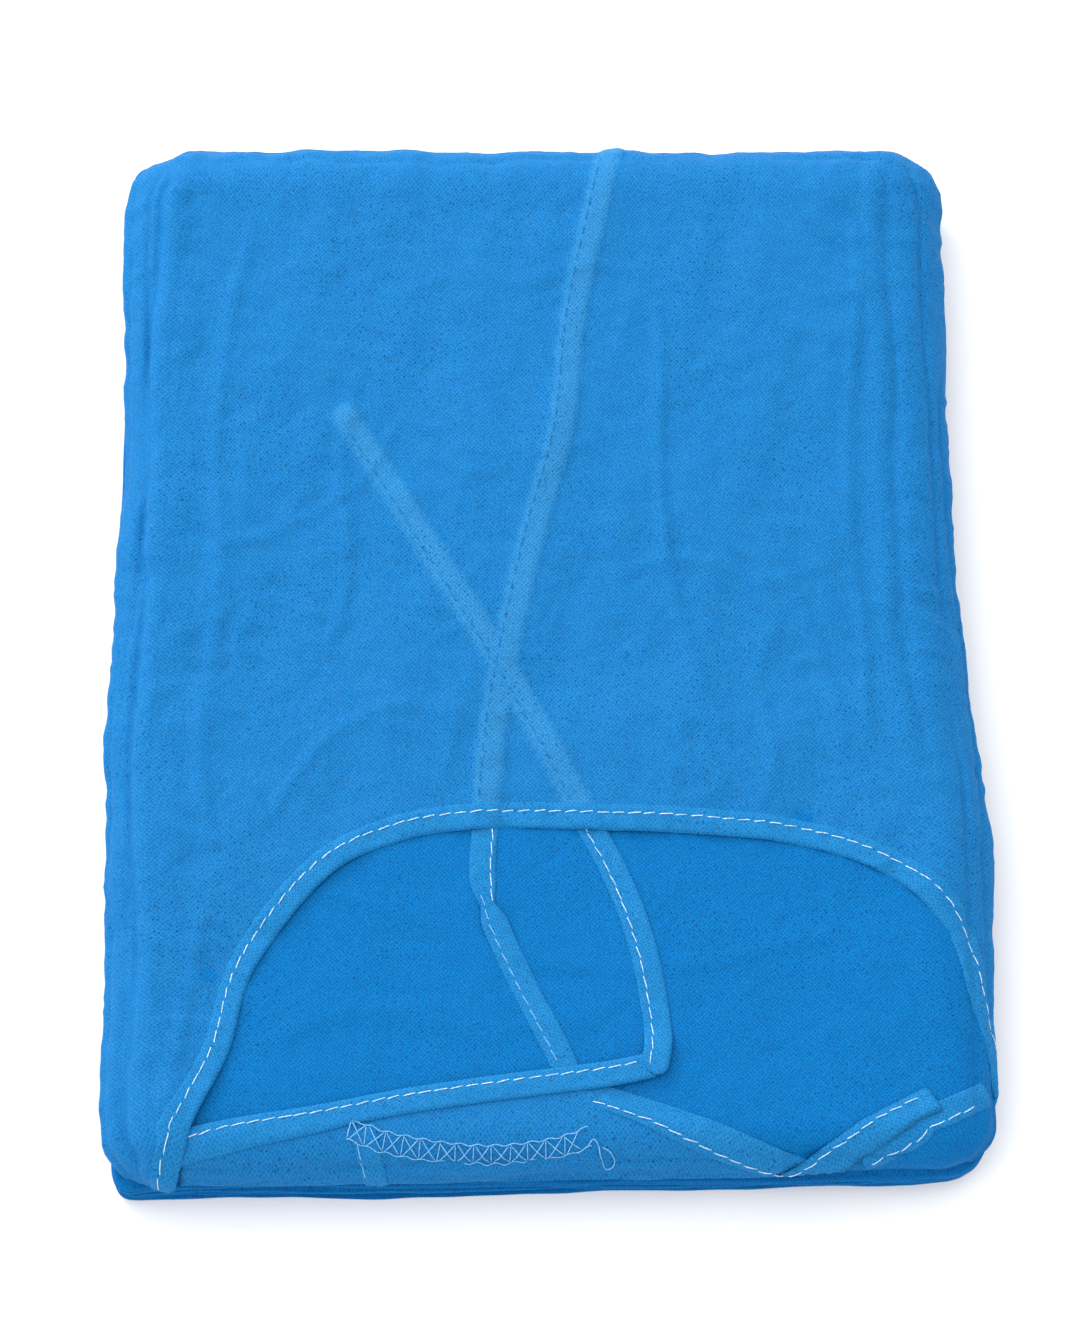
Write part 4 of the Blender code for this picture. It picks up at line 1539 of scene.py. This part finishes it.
    def inset(self, shares: Array, turn: Array, number: int) -> Array:
        """How far a ply's nose stands back from the stack's outline.

        Each side and corner has its own set-back, and two plies at a time share one unevenness,
        a sum of sines round the stack.

        Args:
            shares: each station's shares of the overhang.
            turn: the angle round the stack.
            number: the ply.

        Returns:
            The set-back in metres.
        """
        left, near = np.maximum(-shares, 0).T ** 2
        right, far = np.maximum(shares, 0).T ** 2
        fold = (number + 1) // 2
        lower = 1.0 if fold < 3 else 0.0
        inset = ((left + right) * (-0.6 + 1.4 * lower) - near * 3.2 + far * (1.8 + 1.8 * lower)) * MM
        squares = np.sum(np.square(shares), axis=1)
        corner = 4 * np.square(shares[:, 0] * shares[:, 1]) / np.square(squares)
        push = np.where(shares[:, 0] < 0, np.where(shares[:, 1] > 0, 6.5, 4.5), 1.0)
        uneven = self.sines(turn, self.unevenness, 50 + fold)
        return inset - corner ** 2 * push * MM + (0.8 + 0.95 * uneven + 0.3 * (number % 2)) * MM


@dataclass
class Underside:
    """The two side flaps that close the folded stack underneath, one lying over the other."""

    finishes: Finishes
    step: float = 2.6 * MM
    cloth: float = 0.35 * MM
    overlap: Line = Line(((22, -152), (26, -90), (21, -20), (25, 60), (30, 152)))

    def build(self) -> list[bpy.types.Object]:
        """Builds the flaps. The outer one lies on the surface, the inner one just above it.

        Returns:
            The outer and the inner flap.
        """
        made = []
        rows = np.arange(-154, 154.1, self.step / MM)[:, None] * MM
        share = np.linspace(0, 1, 64)[None, :]
        stations, _, _ = self.overlap.sampled(2 * MM)
        edge = np.interp(rows, stations[:, 1], stations[:, 0])
        for name, start, end, height in (
            ("outer", -131 * MM, edge, 0.02 * MM),
            ("inner", 0 * MM, 130 * MM, 0.5 * MM),
        ):
            p, q = np.broadcast_arrays(start + share * (end - start), rows)
            creases = 0.22 * MM * smooth(crumple(p, q * 0.8, 34 * MM, 71))
            creases = creases + 0.12 * MM * smooth(ripple(p, q, 50 * MM, 73))
            x, y = STACK.tapered(p, q)
            points = np.stack((x, y, height + creases), axis=-1)
            made.append(make_sheet(f"underside_{name}_flap", (p, q), points, self.finishes.cloth, self.cloth,
                                   "folded_layers"))
        return made


@dataclass
class Studio:
    """A white paper floor, a large soft light over the far left, and the camera."""

    target: tuple[float, float, float] = (-0.00106, -0.00257, 0.01759)
    away: tuple[float, float, float] = (0.0, -0.58713, 1.80701)
    lens: float = 160.47
    floor: float = 8.0
    dim: float = 0.8
    bright: float = 1.95

    def build(self) -> None:
        """Builds the floor, the world, the lights and the camera."""
        scene = bpy.context.scene
        paper = StudioPaper().material()
        half = self.floor / 2
        share = np.linspace(-half, half, 9)
        x, y = np.meshgrid(share, share)
        points = np.stack((x, y, np.zeros_like(x)), axis=-1)
        ground = make_object("floor", points, grid_faces(9, 9).tolist(), paper)
        self.sky()
        self.area("key_light", (-0.95, 1.25, 0.75), 0.5, 15)
        camera = bpy.data.objects.new("camera", bpy.data.cameras.new("camera"))
        scene.collection.objects.link(camera)
        eye = np.array(self.target) + np.array(self.away)
        camera.location = eye
        camera.rotation_euler = self.aim(eye, np.array(self.target))
        camera.data.lens = self.lens
        camera.data.sensor_width = 36
        camera.data.sensor_fit = "AUTO"
        camera.data.clip_start = 0.05
        scene.camera = camera
        scene.view_settings.view_transform = "Standard"

    def sky(self) -> None:
        """Lights the room softly: its brightness rises evenly from the near right to the far left."""
        world = bpy.data.worlds.new("studio")
        bpy.context.scene.world = world
        world.use_nodes = True
        tree = world.node_tree
        place = add_node(tree, "ShaderNodeTexCoord", {}, {})
        facing = add_node(tree, "ShaderNodeVectorMath", {"operation": "DOT_PRODUCT", 1: (-0.6, 0.62, 0.5)},
                          {0: place.outputs["Generated"]})
        level = add_node(tree, "ShaderNodeMapRange", {1: -0.7, 2: 1.0, 3: self.dim, 4: self.bright},
                         {0: facing.outputs["Value"]})
        tree.links.new(level.outputs[0], tree.nodes["Background"].inputs[1])
        tree.nodes["Background"].inputs[0].default_value = (1, 1, 1, 1)

    def aim(self, eye: Array, at: Array) -> tuple[float, float, float]:
        """The turn that points a camera or light from one place to another.

        Args:
            eye: where it stands.
            at: what it looks at.

        Returns:
            Euler angles.
        """
        way = at - eye
        across = math.hypot(way[0], way[1])
        return math.atan2(across, -way[2]), 0.0, math.atan2(way[1], way[0]) - math.pi / 2

    def area(self, name: str, place: tuple[float, float, float], size: float, power: float) -> None:
        """Adds a square area light that points at the gown.

        Args:
            name: the light's name.
            place: where it stands.
            size: its side in metres.
            power: its power in watts.
        """
        data = bpy.data.lights.new(name, "AREA")
        data.size = size
        data.energy = power
        lamp = bpy.data.objects.new(name, data)
        bpy.context.scene.collection.objects.link(lamp)
        lamp.location = place
        lamp.rotation_euler = self.aim(np.array(place), np.array(self.target))


def main() -> None:
    """Builds the gown's pieces in order and reports each one."""
    logging.basicConfig(level=logging.INFO, format="%(name)s: %(message)s")
    finishes = Finishes()
    Studio().build()
    front = FrontBody(finishes)
    backs = BackPanels(finishes)
    made = [FoldedLayers(finishes).build(), front.build(), *backs.build(), *Underside(finishes).build()]
    made += NeckBinding(finishes, front).build()
    made += Ties(finishes, backs).build()
    made.append(OverlockedSeam(finishes, backs).build())
    made += front.pressed_stitches()
    for piece in made:
        LOG.info("%s: %d points", piece.name, len(piece.data.vertices))


if __name__ == "__main__":
    main()
